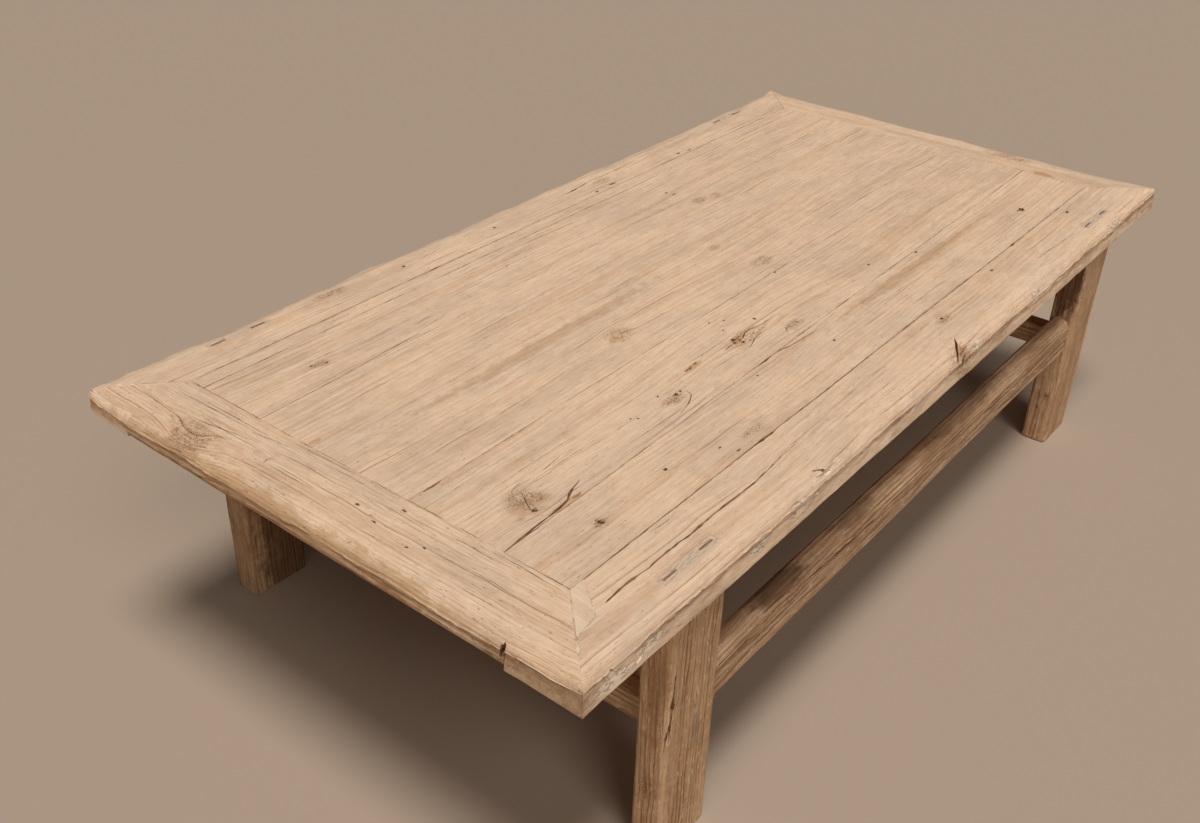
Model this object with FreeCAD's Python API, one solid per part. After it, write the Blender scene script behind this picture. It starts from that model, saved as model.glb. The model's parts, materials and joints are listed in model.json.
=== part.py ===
import FreeCAD, Part
import os

# A low table with a framed panel top on four slab legs, in millimetres.
# X runs along the table, Y across it and Z up from the floor. The origin is on the
# floor under the middle of the top. Front is -Y and left is -X.

# The whole table
TABLE_LENGTH = 1690.0
TABLE_WIDTH = 850.0
TABLE_HEIGHT = 437.0
TOP_THICKNESS = 42.0

# The top frame: widths of its four rails, its worn arrises and its lapped mitres
FRONT_RAIL_WIDTH = 105.0
REAR_RAIL_WIDTH = 97.0
LEFT_RAIL_WIDTH = 107.0
RIGHT_RAIL_WIDTH = 95.0
CORNER_RADIUS = 12.0
TOP_ARRIS_RADIUS = 9.0
UNDER_ARRIS_RADIUS = 4.0
WANE_RADIUS = 17.0
MITRE_LIP_THICKNESS = 9.0
CORNER_TENON_WIDTH = 60.0
CORNER_TENON_THICKNESS = 12.0
CORNER_TENON_LENGTH = 70.0
CORNER_PEG_DIAMETER = 8.0
CORNER_PEG_PAST_TENON = 3.0

# The thin wedge let in beside the front left mitre
PATCH_WIDTH = 19.0
PATCH_REACH_SHARE = 0.38

# The panel: boards and a strip, held by their lower edge in a groove of the frame
PANEL_THICKNESS = 22.0
PANEL_TONGUE_HEIGHT = 10.0
PANEL_GROOVE_DEPTH = 12.0
PANEL_END_GAP = 1.0
REAR_STRIP_WIDTH = 26.0
BOARD_TONGUE_HEIGHT = 5.0
BOARD_TONGUE_DEPTH = 7.0
# Where each joint between boards meets the left and the right end, as shares of the
# width from the front rail to the strip
BOARD_JOINT_SHARES = [(0.151, 0.195), (0.389, 0.397), (0.814, 0.849)]

# The battens that slide across under the panel
BATTEN_SPACING = 380.0
BATTEN_WIDTH = 40.0
BATTEN_DROP = 24.0
DOVETAIL_HEIGHT = 7.0
DOVETAIL_NARROW_WIDTH = 24.0
DOVETAIL_WIDE_WIDTH = 30.0
BATTEN_TENON_WIDTH = 26.0
BATTEN_TENON_THICKNESS = 10.0
BATTEN_TENON_LENGTH = 20.0

# The legs, and the tenon of each through its long rail
LEG_WIDTH = 104.0
LEG_THICKNESS = 50.0
LEG_CORNER_RADIUS = 10.0
LEG_END_INSET = 176.0
LEG_SIDE_INSET = 14.0
LEG_TENON_THICKNESS = 14.0
LEG_TENON_RECESS = 0.5
WEDGE_LENGTH = 24.0
WEDGE_DEPTH = 26.0
WEDGE_HEAD_THICKNESS = 3.0
WEDGE_TOE_THICKNESS = 1.0
WEDGE_PLACE_SHARE = 0.33

# The long stretchers, flat outside below and rounded above
LONG_STRETCHER_BOTTOM = 198.0
LONG_STRETCHER_WIDTH = 38.0
LONG_STRETCHER_HEIGHT = 66.0
FLAT_FACE_HEIGHT = 40.0
ROUNDED_WIDTH = 20.0
ROUNDED_BULGE = 4.0
INNER_ARRIS_RADIUS = 12.0
LONG_TENON_THICKNESS = 14.0
LONG_TENON_HEIGHT = 46.0
LONG_TENON_LENGTH = 40.0

# The end stretchers
END_STRETCHER_BOTTOM = 172.0
END_STRETCHER_WIDTH = 40.0
END_STRETCHER_HEIGHT = 46.0
END_STRETCHER_ARRIS_RADIUS = 7.0
END_TENON_THICKNESS = 14.0
END_TENON_HEIGHT = 32.0
END_TENON_LENGTH = 28.0

# Clearance round every tenon, tongue and lap, the seam between boards, and how far
# a cut runs past the face that it opens
JOINT_CLEARANCE = 0.2
BOARD_SEAM = 0.3
OVERRUN = 5.0

# Faces worked out from the sizes above
HALF_LENGTH = TABLE_LENGTH / 2
HALF_WIDTH = TABLE_WIDTH / 2
UNDERSIDE = TABLE_HEIGHT - TOP_THICKNESS
LIP_UNDERSIDE = TABLE_HEIGHT - MITRE_LIP_THICKNESS
PANEL_UNDERSIDE = TABLE_HEIGHT - PANEL_THICKNESS
PANEL_TONGUE_TOP = PANEL_UNDERSIDE + PANEL_TONGUE_HEIGHT
OPENING_LEFT = LEFT_RAIL_WIDTH - HALF_LENGTH
OPENING_RIGHT = HALF_LENGTH - RIGHT_RAIL_WIDTH
OPENING_FRONT = FRONT_RAIL_WIDTH - HALF_WIDTH
OPENING_REAR = HALF_WIDTH - REAR_RAIL_WIDTH
STRIP_FRONT = OPENING_REAR - REAR_STRIP_WIDTH
LEG_MIDDLE_X = HALF_LENGTH - LEG_END_INSET - LEG_WIDTH / 2
LEG_MIDDLE_Y = HALF_WIDTH - LEG_SIDE_INSET - LEG_THICKNESS / 2
LEG_INNER_X = LEG_MIDDLE_X - LEG_WIDTH / 2
LEG_INNER_Y = LEG_MIDDLE_Y - LEG_THICKNESS / 2

LEFT, RIGHT = -1, 1
FRONT, REAR = -1, 1


def block(low, high):
    """A box between two opposite corners, given in any order."""
    start = [min(pair) for pair in zip(low, high)]
    end = [max(pair) for pair in zip(low, high)]
    length, width, height = (b - a for a, b in zip(start, end))
    return Part.makeBox(length, width, height, FreeCAD.Vector(*start))


def roomier(low, high, clearance=JOINT_CLEARANCE):
    """The hole for a tenon: its box with clearance on every side."""
    start = [min(pair) - clearance for pair in zip(low, high)]
    end = [max(pair) + clearance for pair in zip(low, high)]
    return block(start, end)


def rooted(low, high, side):
    """A tenon that runs across the table, drawn back past its shoulder into its own piece."""
    return block((low[0], low[1] - side * OVERRUN, low[2]), high)


def upright_prism(outline, low, high, inset=0.0):
    """An outline in plan, given as (x, y) points and drawn in by an inset, pulled up between two heights."""
    points = [FreeCAD.Vector(x, y, low) for x, y in outline]
    face = Part.Face(Part.makePolygon(points + points[:1]))
    if inset:
        face = face.makeOffset2D(-inset)
    return face.extrude(FreeCAD.Vector(0, 0, high - low))


def crosswise_prism(outline, low, high):
    """An outline in (x, z) points, pulled across the table between two Y places."""
    points = [FreeCAD.Vector(x, low, z) for x, z in outline]
    face = Part.Face(Part.makePolygon(points + points[:1]))
    return face.extrude(FreeCAD.Vector(0, high - low, 0))


def lengthwise_prism(outline, low, high):
    """An outline in (y, z) points, pulled along the table between two X places."""
    points = [FreeCAD.Vector(low, y, z) for y, z in outline]
    face = Part.Face(Part.makePolygon(points + points[:1]))
    return face.extrude(FreeCAD.Vector(high - low, 0, 0))


def flat_edges_at(shape, height):
    """The edges that lie wholly at one height."""
    return [edge for edge in shape.Edges
            if edge.BoundBox.ZLength < JOINT_CLEARANCE and abs(edge.BoundBox.ZMin - height) < JOINT_CLEARANCE]


def upright_edges(shape):
    """The straight edges that stand upright."""
    return [edge for edge in shape.Edges
            if edge.BoundBox.XLength < JOINT_CLEARANCE and edge.BoundBox.YLength < JOINT_CLEARANCE]


def worn_top():
    """The outside of the whole top as one slab, with its corners and arrises worn round."""
    slab = block((-HALF_LENGTH, -HALF_WIDTH, UNDERSIDE), (HALF_LENGTH, HALF_WIDTH, TABLE_HEIGHT))
    slab = slab.makeFillet(CORNER_RADIUS, upright_edges(slab))
    slab = slab.makeFillet(TOP_ARRIS_RADIUS, flat_edges_at(slab, TABLE_HEIGHT))
    return slab.makeFillet(UNDER_ARRIS_RADIUS, flat_edges_at(slab, UNDERSIDE))


def panel_groove():
    """The space that the frame's groove gives the panel's tongue, as one slab."""
    return block((OPENING_LEFT - PANEL_GROOVE_DEPTH, OPENING_FRONT - PANEL_GROOVE_DEPTH,
                  PANEL_UNDERSIDE - JOINT_CLEARANCE),
                 (OPENING_RIGHT + PANEL_GROOVE_DEPTH, OPENING_REAR + PANEL_GROOVE_DEPTH,
                  PANEL_TONGUE_TOP + JOINT_CLEARANCE))


def corner_tenon(end, side):
    """Corners of the hidden tenon of an end rail in a long rail."""
    outer_x = end * HALF_LENGTH
    inner_x = (OPENING_LEFT - PANEL_GROOVE_DEPTH) if end == LEFT else (OPENING_RIGHT + PANEL_GROOVE_DEPTH)
    middle_x = (outer_x + inner_x) / 2
    middle_z = (UNDERSIDE + LIP_UNDERSIDE) / 2
    root_y = OPENING_FRONT if side == FRONT else OPENING_REAR
    tip_y = root_y + side * CORNER_TENON_LENGTH
    return ((middle_x - CORNER_TENON_WIDTH / 2, root_y, middle_z - CORNER_TENON_THICKNESS / 2),
            (middle_x + CORNER_TENON_WIDTH / 2, tip_y, middle_z + CORNER_TENON_THICKNESS / 2))


def corner_peg(end, side, clearance=0.0):
    """The peg driven up through a corner tenon, or its hole when given clearance."""
    low, high = corner_tenon(end, side)
    middle_x = (low[0] + high[0]) / 2
    middle_y = (low[1] + high[1]) / 2
    length = high[2] + CORNER_PEG_PAST_TENON + clearance - UNDERSIDE
    start = FreeCAD.Vector(middle_x, middle_y, UNDERSIDE)
    return Part.makeCylinder(CORNER_PEG_DIAMETER / 2 + clearance, length, start)


def mitre_patch_outline():
    """The patch in plan: the inner corner, a point along the rail, a point down the mitre."""
    inner = (OPENING_LEFT, OPENING_FRONT)
    along = (OPENING_LEFT + PATCH_WIDTH, OPENING_FRONT)
    outer = (OPENING_LEFT - PATCH_REACH_SHARE * LEFT_RAIL_WIDTH,
             OPENING_FRONT - PATCH_REACH_SHARE * FRONT_RAIL_WIDTH)
    return [inner, along, outer]


def batten_places():
    """The middle of each batten along the table, from left to right."""
    return {"left_batten": -BATTEN_SPACING, "centre_batten": 0.0, "right_batten": BATTEN_SPACING}


def batten_tenon(middle_x, side):
    """Corners of a batten's tenon in a long rail, under the panel groove."""
    middle_z = (UNDERSIDE + PANEL_UNDERSIDE) / 2
    root_y = OPENING_FRONT if side == FRONT else OPENING_REAR
    tip_y = root_y + side * BATTEN_TENON_LENGTH
    return ((middle_x - BATTEN_TENON_WIDTH / 2, root_y, middle_z - BATTEN_TENON_THICKNESS / 2),
            (middle_x + BATTEN_TENON_WIDTH / 2, tip_y, middle_z + BATTEN_TENON_THICKNESS / 2))


def leg_tenon(end, side):
    """Corners of the tenon at a leg's head, which shows on the top."""
    middle_x = end * LEG_MIDDLE_X
    middle_y = side * LEG_MIDDLE_Y
    return ((middle_x - LEG_WIDTH / 2, middle_y - LEG_TENON_THICKNESS / 2, UNDERSIDE),
            (middle_x + LEG_WIDTH / 2, middle_y + LEG_TENON_THICKNESS / 2, TABLE_HEIGHT - LEG_TENON_RECESS))


def leg_tenon_wedge(end, side, half, clearance=0.0):
    """One of the two wedges in a leg's tenon, or its slot when given clearance."""
    head_z = TABLE_HEIGHT - LEG_TENON_RECESS
    toe_z = head_z - WEDGE_DEPTH - clearance
    middle_x = end * LEG_MIDDLE_X + half * LEG_WIDTH * WEDGE_PLACE_SHARE
    middle_y = side * LEG_MIDDLE_Y
    head = WEDGE_HEAD_THICKNESS / 2 + clearance
    toe = WEDGE_TOE_THICKNESS / 2 + clearance
    reach = WEDGE_LENGTH / 2 + clearance
    outline = [(middle_y - head, head_z), (middle_y + head, head_z),
               (middle_y + toe, toe_z), (middle_y - toe, toe_z)]
    return lengthwise_prism(outline, middle_x - reach, middle_x + reach)


def long_stretcher_tenon(end, side):
    """Corners of a long stretcher's blind tenon in a leg."""
    root_x = end * LEG_INNER_X
    tip_x = root_x + end * LONG_TENON_LENGTH
    middle_y = side * LEG_MIDDLE_Y
    middle_z = LONG_STRETCHER_BOTTOM + LONG_STRETCHER_HEIGHT / 2
    return ((root_x, middle_y - LONG_TENON_THICKNESS / 2, middle_z - LONG_TENON_HEIGHT / 2),
            (tip_x, middle_y + LONG_TENON_THICKNESS / 2, middle_z + LONG_TENON_HEIGHT / 2))


def end_stretcher_tenon(end, side):
    """Corners of an end stretcher's blind tenon in a leg."""
    root_y = side * LEG_INNER_Y
    tip_y = root_y + side * END_TENON_LENGTH
    middle_x = end * LEG_MIDDLE_X
    middle_z = END_STRETCHER_BOTTOM + END_STRETCHER_HEIGHT / 2
    return ((middle_x - END_TENON_THICKNESS / 2, root_y, middle_z - END_TENON_HEIGHT / 2),
            (middle_x + END_TENON_THICKNESS / 2, tip_y, middle_z + END_TENON_HEIGHT / 2))


def long_rail(side):
    """A long rail: full length below, mitred above, mortised for tenons and battens."""
    outer_y = side * HALF_WIDTH
    inner_y = OPENING_FRONT if side == FRONT else OPENING_REAR
    lower = block((-HALF_LENGTH, outer_y, UNDERSIDE), (HALF_LENGTH, inner_y, LIP_UNDERSIDE))
    mitred = upright_prism([(-HALF_LENGTH, outer_y), (HALF_LENGTH, outer_y),
                            (OPENING_RIGHT, inner_y), (OPENING_LEFT, inner_y)],
                           LIP_UNDERSIDE, TABLE_HEIGHT)
    rail = lower.fuse(mitred).removeSplitter().common(worn_top())
    rail = rail.cut(panel_groove())
    for end in (LEFT, RIGHT):
        rail = rail.cut(roomier(*corner_tenon(end, side)))
        rail = rail.cut(corner_peg(end, side, JOINT_CLEARANCE))
        low, high = leg_tenon(end, side)
        rail = rail.cut(roomier((low[0], low[1], UNDERSIDE - OVERRUN), (high[0], high[1], TABLE_HEIGHT + OVERRUN)))
    for middle_x in batten_places().values():
        rail = rail.cut(roomier(*batten_tenon(middle_x, side)))
    if side == FRONT:
        rail = rail.cut(upright_prism(mitre_patch_outline(), LIP_UNDERSIDE, TABLE_HEIGHT + OVERRUN))
    return rail


def end_rail(end):
    """An end rail: between the long rails below, lapping over them in a mitred lip above."""
    outer_x = end * HALF_LENGTH
    inner_x = OPENING_LEFT if end == LEFT else OPENING_RIGHT
    front_y = OPENING_FRONT + JOINT_CLEARANCE
    rear_y = OPENING_REAR - JOINT_CLEARANCE
    between = block((outer_x, front_y, UNDERSIDE), (inner_x, rear_y, TABLE_HEIGHT))
    lip = upright_prism([(outer_x, JOINT_CLEARANCE - HALF_WIDTH), (inner_x, front_y),
                         (inner_x, rear_y), (outer_x, HALF_WIDTH - JOINT_CLEARANCE)],
                        LIP_UNDERSIDE + JOINT_CLEARANCE, TABLE_HEIGHT)
    rail = between.fuse(lip).removeSplitter().common(worn_top())
    if end == LEFT:
        rail = rail.cut(wane_cutter())
    rail = rail.cut(panel_groove())
    for side in (FRONT, REAR):
        rail = rail.fuse(rooted(*corner_tenon(end, side), side)).removeSplitter()
        rail = rail.cut(corner_peg(end, side, JOINT_CLEARANCE))
    return rail


def wane_cutter():
    """What the tree's round leaves off the left end rail's lower outer arris."""
    waste = block((-HALF_LENGTH - OVERRUN, OPENING_FRONT, UNDERSIDE - OVERRUN),
                  (WANE_RADIUS - HALF_LENGTH, OPENING_REAR, UNDERSIDE + WANE_RADIUS))
    kept = Part.makeCylinder(WANE_RADIUS, OPENING_REAR - OPENING_FRONT,
                             FreeCAD.Vector(WANE_RADIUS - HALF_LENGTH, OPENING_FRONT, UNDERSIDE + WANE_RADIUS),
                             FreeCAD.Vector(0, 1, 0))
    return waste.cut(kept)


def corner_patch():
    """The thin wedge let in beside the front left mitre, on the lap below."""
    return upright_prism(mitre_patch_outline(), LIP_UNDERSIDE, TABLE_HEIGHT, JOINT_CLEARANCE)


def joint_y(joint, x):
    """The Y of a board joint at a place along the table, on the straight line between its ends."""
    left_share, right_share = joint
    along = (x - OPENING_LEFT) / (OPENING_RIGHT - OPENING_LEFT)
    share = left_share + (right_share - left_share) * along
    return OPENING_FRONT + (STRIP_FRONT - OPENING_FRONT) * share


def panel_piece(front_edge, rear_edge, in_front_rail, in_rear_rail):
    """A board or strip between two edges, each a function that gives Y from x.

    Its body stands in the frame's opening and its tongue reaches into the frame's groove.
    """
    tongue_length = PANEL_GROOVE_DEPTH - PANEL_END_GAP
    body_left = OPENING_LEFT + BOARD_SEAM
    body_right = OPENING_RIGHT - BOARD_SEAM
    tongue_left = OPENING_LEFT - tongue_length
    tongue_right = OPENING_RIGHT + tongue_length
    half_seam = BOARD_SEAM / 2

    def outline(left, right, front_reach, rear_reach):
        """The four corners in plan, each edge moved out by its reach."""
        return [(left, front_edge(left) + half_seam - front_reach),
                (right, front_edge(right) + half_seam - front_reach),
                (right, rear_edge(right) - half_seam + rear_reach),
                (left, rear_edge(left) - half_seam + rear_reach)]

    body = upright_prism(outline(body_left, body_right, 0, 0), PANEL_UNDERSIDE, TABLE_HEIGHT)
    tongue = upright_prism(outline(tongue_left, tongue_right,
                                   tongue_length if in_front_rail else 0,
                                   tongue_length if in_rear_rail else 0),
                           PANEL_UNDERSIDE, PANEL_TONGUE_TOP)
    return body.fuse(tongue).removeSplitter()


def board_tongue(edge, clearance=0.0):
    """The tongue along a board's rear edge, or its groove when given clearance."""
    middle_z = PANEL_UNDERSIDE + PANEL_THICKNESS / 2
    left = OPENING_LEFT + BOARD_SEAM - clearance
    right = OPENING_RIGHT - BOARD_SEAM + clearance
    depth = BOARD_TONGUE_DEPTH + clearance
    half_height = BOARD_TONGUE_HEIGHT / 2 + clearance
    root = BOARD_SEAM / 2
    outline = [(left, edge(left) - root), (right, edge(right) - root),
               (right, edge(right) + depth), (left, edge(left) + depth)]
    return upright_prism(outline, middle_z - half_height, middle_z + half_height)


def dovetail(middle_x, clearance=0.0):
    """The key along a batten's top, or its groove under the boards when given clearance."""
    narrow = DOVETAIL_NARROW_WIDTH / 2 + clearance
    wide = DOVETAIL_WIDE_WIDTH / 2 + clearance
    root_z = PANEL_UNDERSIDE - JOINT_CLEARANCE
    head_z = PANEL_UNDERSIDE + DOVETAIL_HEIGHT + clearance
    outline = [(middle_x - narrow, root_z), (middle_x + narrow, root_z),
               (middle_x + wide, head_z), (middle_x - wide, head_z)]
    reach = OVERRUN + PANEL_GROOVE_DEPTH if clearance else -JOINT_CLEARANCE
    return crosswise_prism(outline, OPENING_FRONT - reach, OPENING_REAR + reach)


def panel_boards():
    """The four boards and the strip, each tongued into the next and grooved for the battens."""
    edges = [lambda x: OPENING_FRONT]
    edges += [lambda x, joint=joint: joint_y(joint, x) for joint in BOARD_JOINT_SHARES]
    edges += [lambda x: STRIP_FRONT, lambda x: OPENING_REAR]
    names = ["front_board", "middle_board", "broad_board", "rear_board", "rear_strip"]
    boards = {}
    for place, name in enumerate(names):
        front_edge = edges[place]
        rear_edge = edges[place + 1]
        first = place == 0
        last = name == names[-1]
        board = panel_piece(front_edge, rear_edge, first, last)
        if not last:
            board = board.fuse(board_tongue(rear_edge)).removeSplitter()
        if not first:
            board = board.cut(board_tongue(front_edge, JOINT_CLEARANCE))
        for middle_x in batten_places().values():
            board = board.cut(dovetail(middle_x, JOINT_CLEARANCE))
        boards[name] = board
    return boards


def batten(middle_x):
    """A batten under the panel, with its dovetail key above and a tenon at each end."""
    half = BATTEN_WIDTH / 2
    piece = block((middle_x - half, OPENING_FRONT + JOINT_CLEARANCE, PANEL_UNDERSIDE - BATTEN_DROP),
                  (middle_x + half, OPENING_REAR - JOINT_CLEARANCE, PANEL_UNDERSIDE - JOINT_CLEARANCE))
    piece = piece.fuse(dovetail(middle_x))
    for side in (FRONT, REAR):
        piece = piece.fuse(rooted(*batten_tenon(middle_x, side), side))
    return piece.removeSplitter()


def leg(end, side):
    """A slab leg with rounded arrises, its through tenon above, its mortises and wedge slots."""
    middle_x = end * LEG_MIDDLE_X
    middle_y = side * LEG_MIDDLE_Y
    post = block((middle_x - LEG_WIDTH / 2, middle_y - LEG_THICKNESS / 2, 0),
                 (middle_x + LEG_WIDTH / 2, middle_y + LEG_THICKNESS / 2, UNDERSIDE))
    post = post.makeFillet(LEG_CORNER_RADIUS, upright_edges(post))
    post = post.fuse(block(*leg_tenon(end, side))).removeSplitter()
    post = post.cut(roomier(*long_stretcher_tenon(end, side)))
    post = post.cut(roomier(*end_stretcher_tenon(end, side)))
    for half in (LEFT, RIGHT):
        post = post.cut(leg_tenon_wedge(end, side, half, JOINT_CLEARANCE))
    return post


def long_stretcher(side):
    """A long stretcher: flat below outside, rounded above, square inside."""
    outer_y = side * (LEG_MIDDLE_Y + LONG_STRETCHER_WIDTH / 2)
    inner_y = side * (LEG_MIDDLE_Y - LONG_STRETCHER_WIDTH / 2)
    bottom = LONG_STRETCHER_BOTTOM
    top = LONG_STRETCHER_BOTTOM + LONG_STRETCHER_HEIGHT
    flat_top = bottom + FLAT_FACE_HEIGHT
    crown_y = outer_y - side * ROUNDED_WIDTH
    ease = INNER_ARRIS_RADIUS
    ease_middle = ease - ease / 2 ** 0.5
    start_x = -LEG_INNER_X

    def place(y, z):
        return FreeCAD.Vector(start_x, y, z)

    def line(a, b):
        return Part.makeLine(a, b)

    bulge_y = (outer_y + crown_y) / 2 + side * ROUNDED_BULGE
    bulge_z = (flat_top + top) / 2 + ROUNDED_BULGE
    corners = [place(outer_y, bottom), place(outer_y, flat_top), place(crown_y, top),
               place(inner_y + side * ease, top), place(inner_y, top - ease), place(inner_y, bottom)]
    bulge = place(bulge_y, bulge_z)
    eased = place(inner_y + side * ease_middle, top - ease_middle)
    edges = [line(corners[0], corners[1]),
             Part.Arc(corners[1], bulge, corners[2]).toShape(),
             line(corners[2], corners[3]),
             Part.Arc(corners[3], eased, corners[4]).toShape(),
             line(corners[4], corners[5]),
             line(corners[5], corners[0])]
    section = Part.Face(Part.Wire(edges))
    rail = section.extrude(FreeCAD.Vector(LEG_INNER_X - start_x, 0, 0))
    for end in (LEFT, RIGHT):
        rail = rail.fuse(block(*long_stretcher_tenon(end, side)))
    return rail.removeSplitter()


def end_stretcher(end):
    """An end stretcher between two legs, with its upper arrises eased."""
    middle_x = end * LEG_MIDDLE_X
    half = END_STRETCHER_WIDTH / 2
    top = END_STRETCHER_BOTTOM + END_STRETCHER_HEIGHT
    rail = block((middle_x - half, -LEG_INNER_Y, END_STRETCHER_BOTTOM), (middle_x + half, LEG_INNER_Y, top))
    upper = [edge for edge in flat_edges_at(rail, top) if edge.BoundBox.XLength < JOINT_CLEARANCE]
    rail = rail.makeFillet(END_STRETCHER_ARRIS_RADIUS, upper)
    for side in (FRONT, REAR):
        rail = rail.fuse(block(*end_stretcher_tenon(end, side)))
    return rail.removeSplitter()


def corner_pegs():
    """The four pegs of the frame's corners."""
    return Part.makeCompound([corner_peg(end, side) for end in (LEFT, RIGHT) for side in (FRONT, REAR)])


def tenon_wedges():
    """The eight wedges of the leg tenons."""
    return Part.makeCompound([leg_tenon_wedge(end, side, half)
                              for end in (LEFT, RIGHT) for side in (FRONT, REAR) for half in (LEFT, RIGHT)])


def build():
    """Every piece of the table, by the name of its node."""
    pieces = {"front_rail": long_rail(FRONT), "rear_rail": long_rail(REAR),
              "left_rail": end_rail(LEFT), "right_rail": end_rail(RIGHT),
              "corner_patch": corner_patch()}
    pieces.update(panel_boards())
    for name, middle_x in batten_places().items():
        pieces[name] = batten(middle_x)
    for side_name, side in (("front", FRONT), ("rear", REAR)):
        for end_name, end in (("left", LEFT), ("right", RIGHT)):
            pieces[side_name + "_" + end_name + "_leg"] = leg(end, side)
        pieces[side_name + "_stretcher"] = long_stretcher(side)
    pieces["left_stretcher"] = end_stretcher(LEFT)
    pieces["right_stretcher"] = end_stretcher(RIGHT)
    pieces["corner_pegs"] = corner_pegs()
    pieces["tenon_wedges"] = tenon_wedges()
    return pieces


os.makedirs("parts", exist_ok=True)
for name, shape in build().items():
    shape.exportStep("parts/" + name + ".step")
    print(name, len(shape.Solids), "solid(s),", "valid" if shape.isValid() else "NOT VALID")
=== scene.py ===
import bpy
import json
import math
import random
from mathutils import Matrix, Vector

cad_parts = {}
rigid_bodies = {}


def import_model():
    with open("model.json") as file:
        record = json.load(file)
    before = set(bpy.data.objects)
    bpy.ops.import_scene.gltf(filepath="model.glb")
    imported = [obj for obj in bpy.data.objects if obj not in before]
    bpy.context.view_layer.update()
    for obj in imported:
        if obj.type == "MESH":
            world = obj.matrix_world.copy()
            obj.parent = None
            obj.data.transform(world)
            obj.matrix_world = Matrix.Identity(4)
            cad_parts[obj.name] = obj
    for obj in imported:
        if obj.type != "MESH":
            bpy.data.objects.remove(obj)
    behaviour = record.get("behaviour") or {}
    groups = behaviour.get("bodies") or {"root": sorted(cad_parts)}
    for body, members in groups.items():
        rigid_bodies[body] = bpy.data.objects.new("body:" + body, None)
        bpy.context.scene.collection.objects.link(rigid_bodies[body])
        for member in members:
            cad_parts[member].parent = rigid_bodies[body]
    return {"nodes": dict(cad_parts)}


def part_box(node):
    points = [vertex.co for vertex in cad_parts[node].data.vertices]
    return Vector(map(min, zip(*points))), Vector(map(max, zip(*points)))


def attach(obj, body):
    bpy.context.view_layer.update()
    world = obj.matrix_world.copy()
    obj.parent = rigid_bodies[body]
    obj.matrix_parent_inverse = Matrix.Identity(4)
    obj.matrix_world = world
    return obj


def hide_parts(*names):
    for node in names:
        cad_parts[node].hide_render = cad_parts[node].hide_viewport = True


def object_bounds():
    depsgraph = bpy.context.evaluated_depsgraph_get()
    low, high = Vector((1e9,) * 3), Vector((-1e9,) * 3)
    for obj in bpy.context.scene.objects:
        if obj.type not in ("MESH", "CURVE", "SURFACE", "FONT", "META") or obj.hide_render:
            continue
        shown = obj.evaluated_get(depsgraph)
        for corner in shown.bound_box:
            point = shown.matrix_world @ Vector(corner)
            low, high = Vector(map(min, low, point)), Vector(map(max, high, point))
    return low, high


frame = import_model()
cad_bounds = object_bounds()

# The front rail
# One length of old elm as long as the table. Its top is sanded pale and its outer face is left
# rough. A thin lip of each end rail laps over its ends, and two leg tenons come up through it.
TOP_HEIGHT = cad_bounds[1].z
LIP_THICKNESS = 0.009
CORNER_RADIUS = 0.011
REAR_LEFT_RADIUS = 0.026
CORNER_STEPS = 4
TOP_ARRIS_RADIUS = 0.009
UNDER_ARRIS_RADIUS = 0.008
FRONT_UNDER_RADIUS = 0.0035
ARRIS_STEPS = 5
SCORE_LONG = 0.008
SCORE_WIDE = 0.005
EDGE_BAND = 0.046
SEAM = 0.00006
MERGE = 0.0001
OVERRUN = 0.005
MARGIN = 0.022
SHELL = 0.0005
LEG_TENON_THICKNESS = 0.014
CRACK_STEP = 0.008
WELD = 0.000005
CRACK_SWAY = 0.0004
CRACK_WIDTH_SHARES = (0.7, 1.7)
TOP_WEAR = 0.0008
UP = Vector((0, 0, 1))
MILLIMETRES = 1000
UNIT_RADIUS = 0.5
HOLLOW_DETAIL = 3
LUMP_STEPS = 4
LUMP_HOLLOW_SHARES = (0.22, 0.22, 0.22)
LUMP_ROUGHNESS_SHARE = 0.7


def in_metres(table):
    """The same table of places and sizes, taken from millimetres to metres."""
    if isinstance(table, (list, tuple)):
        return [in_metres(entry) for entry in table]
    return table / MILLIMETRES


def stain_and_shade_marks(table):
    """Stains and spots of painted shade, with their places and sizes in metres. Their colours and shares
    stay as they are.
    """
    return [(in_metres(middle), in_metres(reach), stain_and_shade, share) for middle, reach, stain_and_shade, share in table]


def only(piece):
    """Selects one piece and nothing else, ready to be worked on."""
    bpy.ops.object.select_all(action="DESELECT")
    piece.select_set(True)
    bpy.context.view_layer.objects.active = piece


def edit(piece):
    """Opens a piece for editing, with all of it selected."""
    only(piece)
    bpy.ops.object.mode_set(mode="EDIT")
    bpy.ops.mesh.select_all(action="SELECT")


def put_down():
    """Ends the editing of a piece."""
    bpy.ops.object.mode_set(mode="OBJECT")


KINDS = ("vertices", "edges", "polygons")


def choose(piece, kind, chosen):
    """Opens a piece with only those of its vertices, edges or polygons selected that a rule chooses."""
    bpy.context.tool_settings.mesh_select_mode = [kind == other for other in KINDS]
    edit(piece)
    bpy.ops.mesh.select_all(action="DESELECT")
    put_down()
    for part in getattr(piece.data, kind):
        part.select = chosen(part)
    bpy.ops.object.mode_set(mode="EDIT")


def slit(point, normal, **settings):
    """Cuts all of the open piece by a plane."""
    bpy.ops.mesh.select_all(action="SELECT")
    bpy.ops.mesh.bisect(plane_co=point, plane_no=normal, **settings)


def sawn_block(name, corner, other_corner):
    """A sawn block between two opposite corners."""
    low = Vector([*map(min, corner, other_corner)])
    high = Vector([*map(max, corner, other_corner)])
    bpy.ops.object.select_all(action="DESELECT")
    bpy.ops.mesh.primitive_cube_add(size=1, location=(low + high) / 2, scale=high - low)
    piece = bpy.context.object
    piece.name = name
    bpy.ops.object.transform_apply(location=True, rotation=True, scale=True)
    return piece


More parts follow.
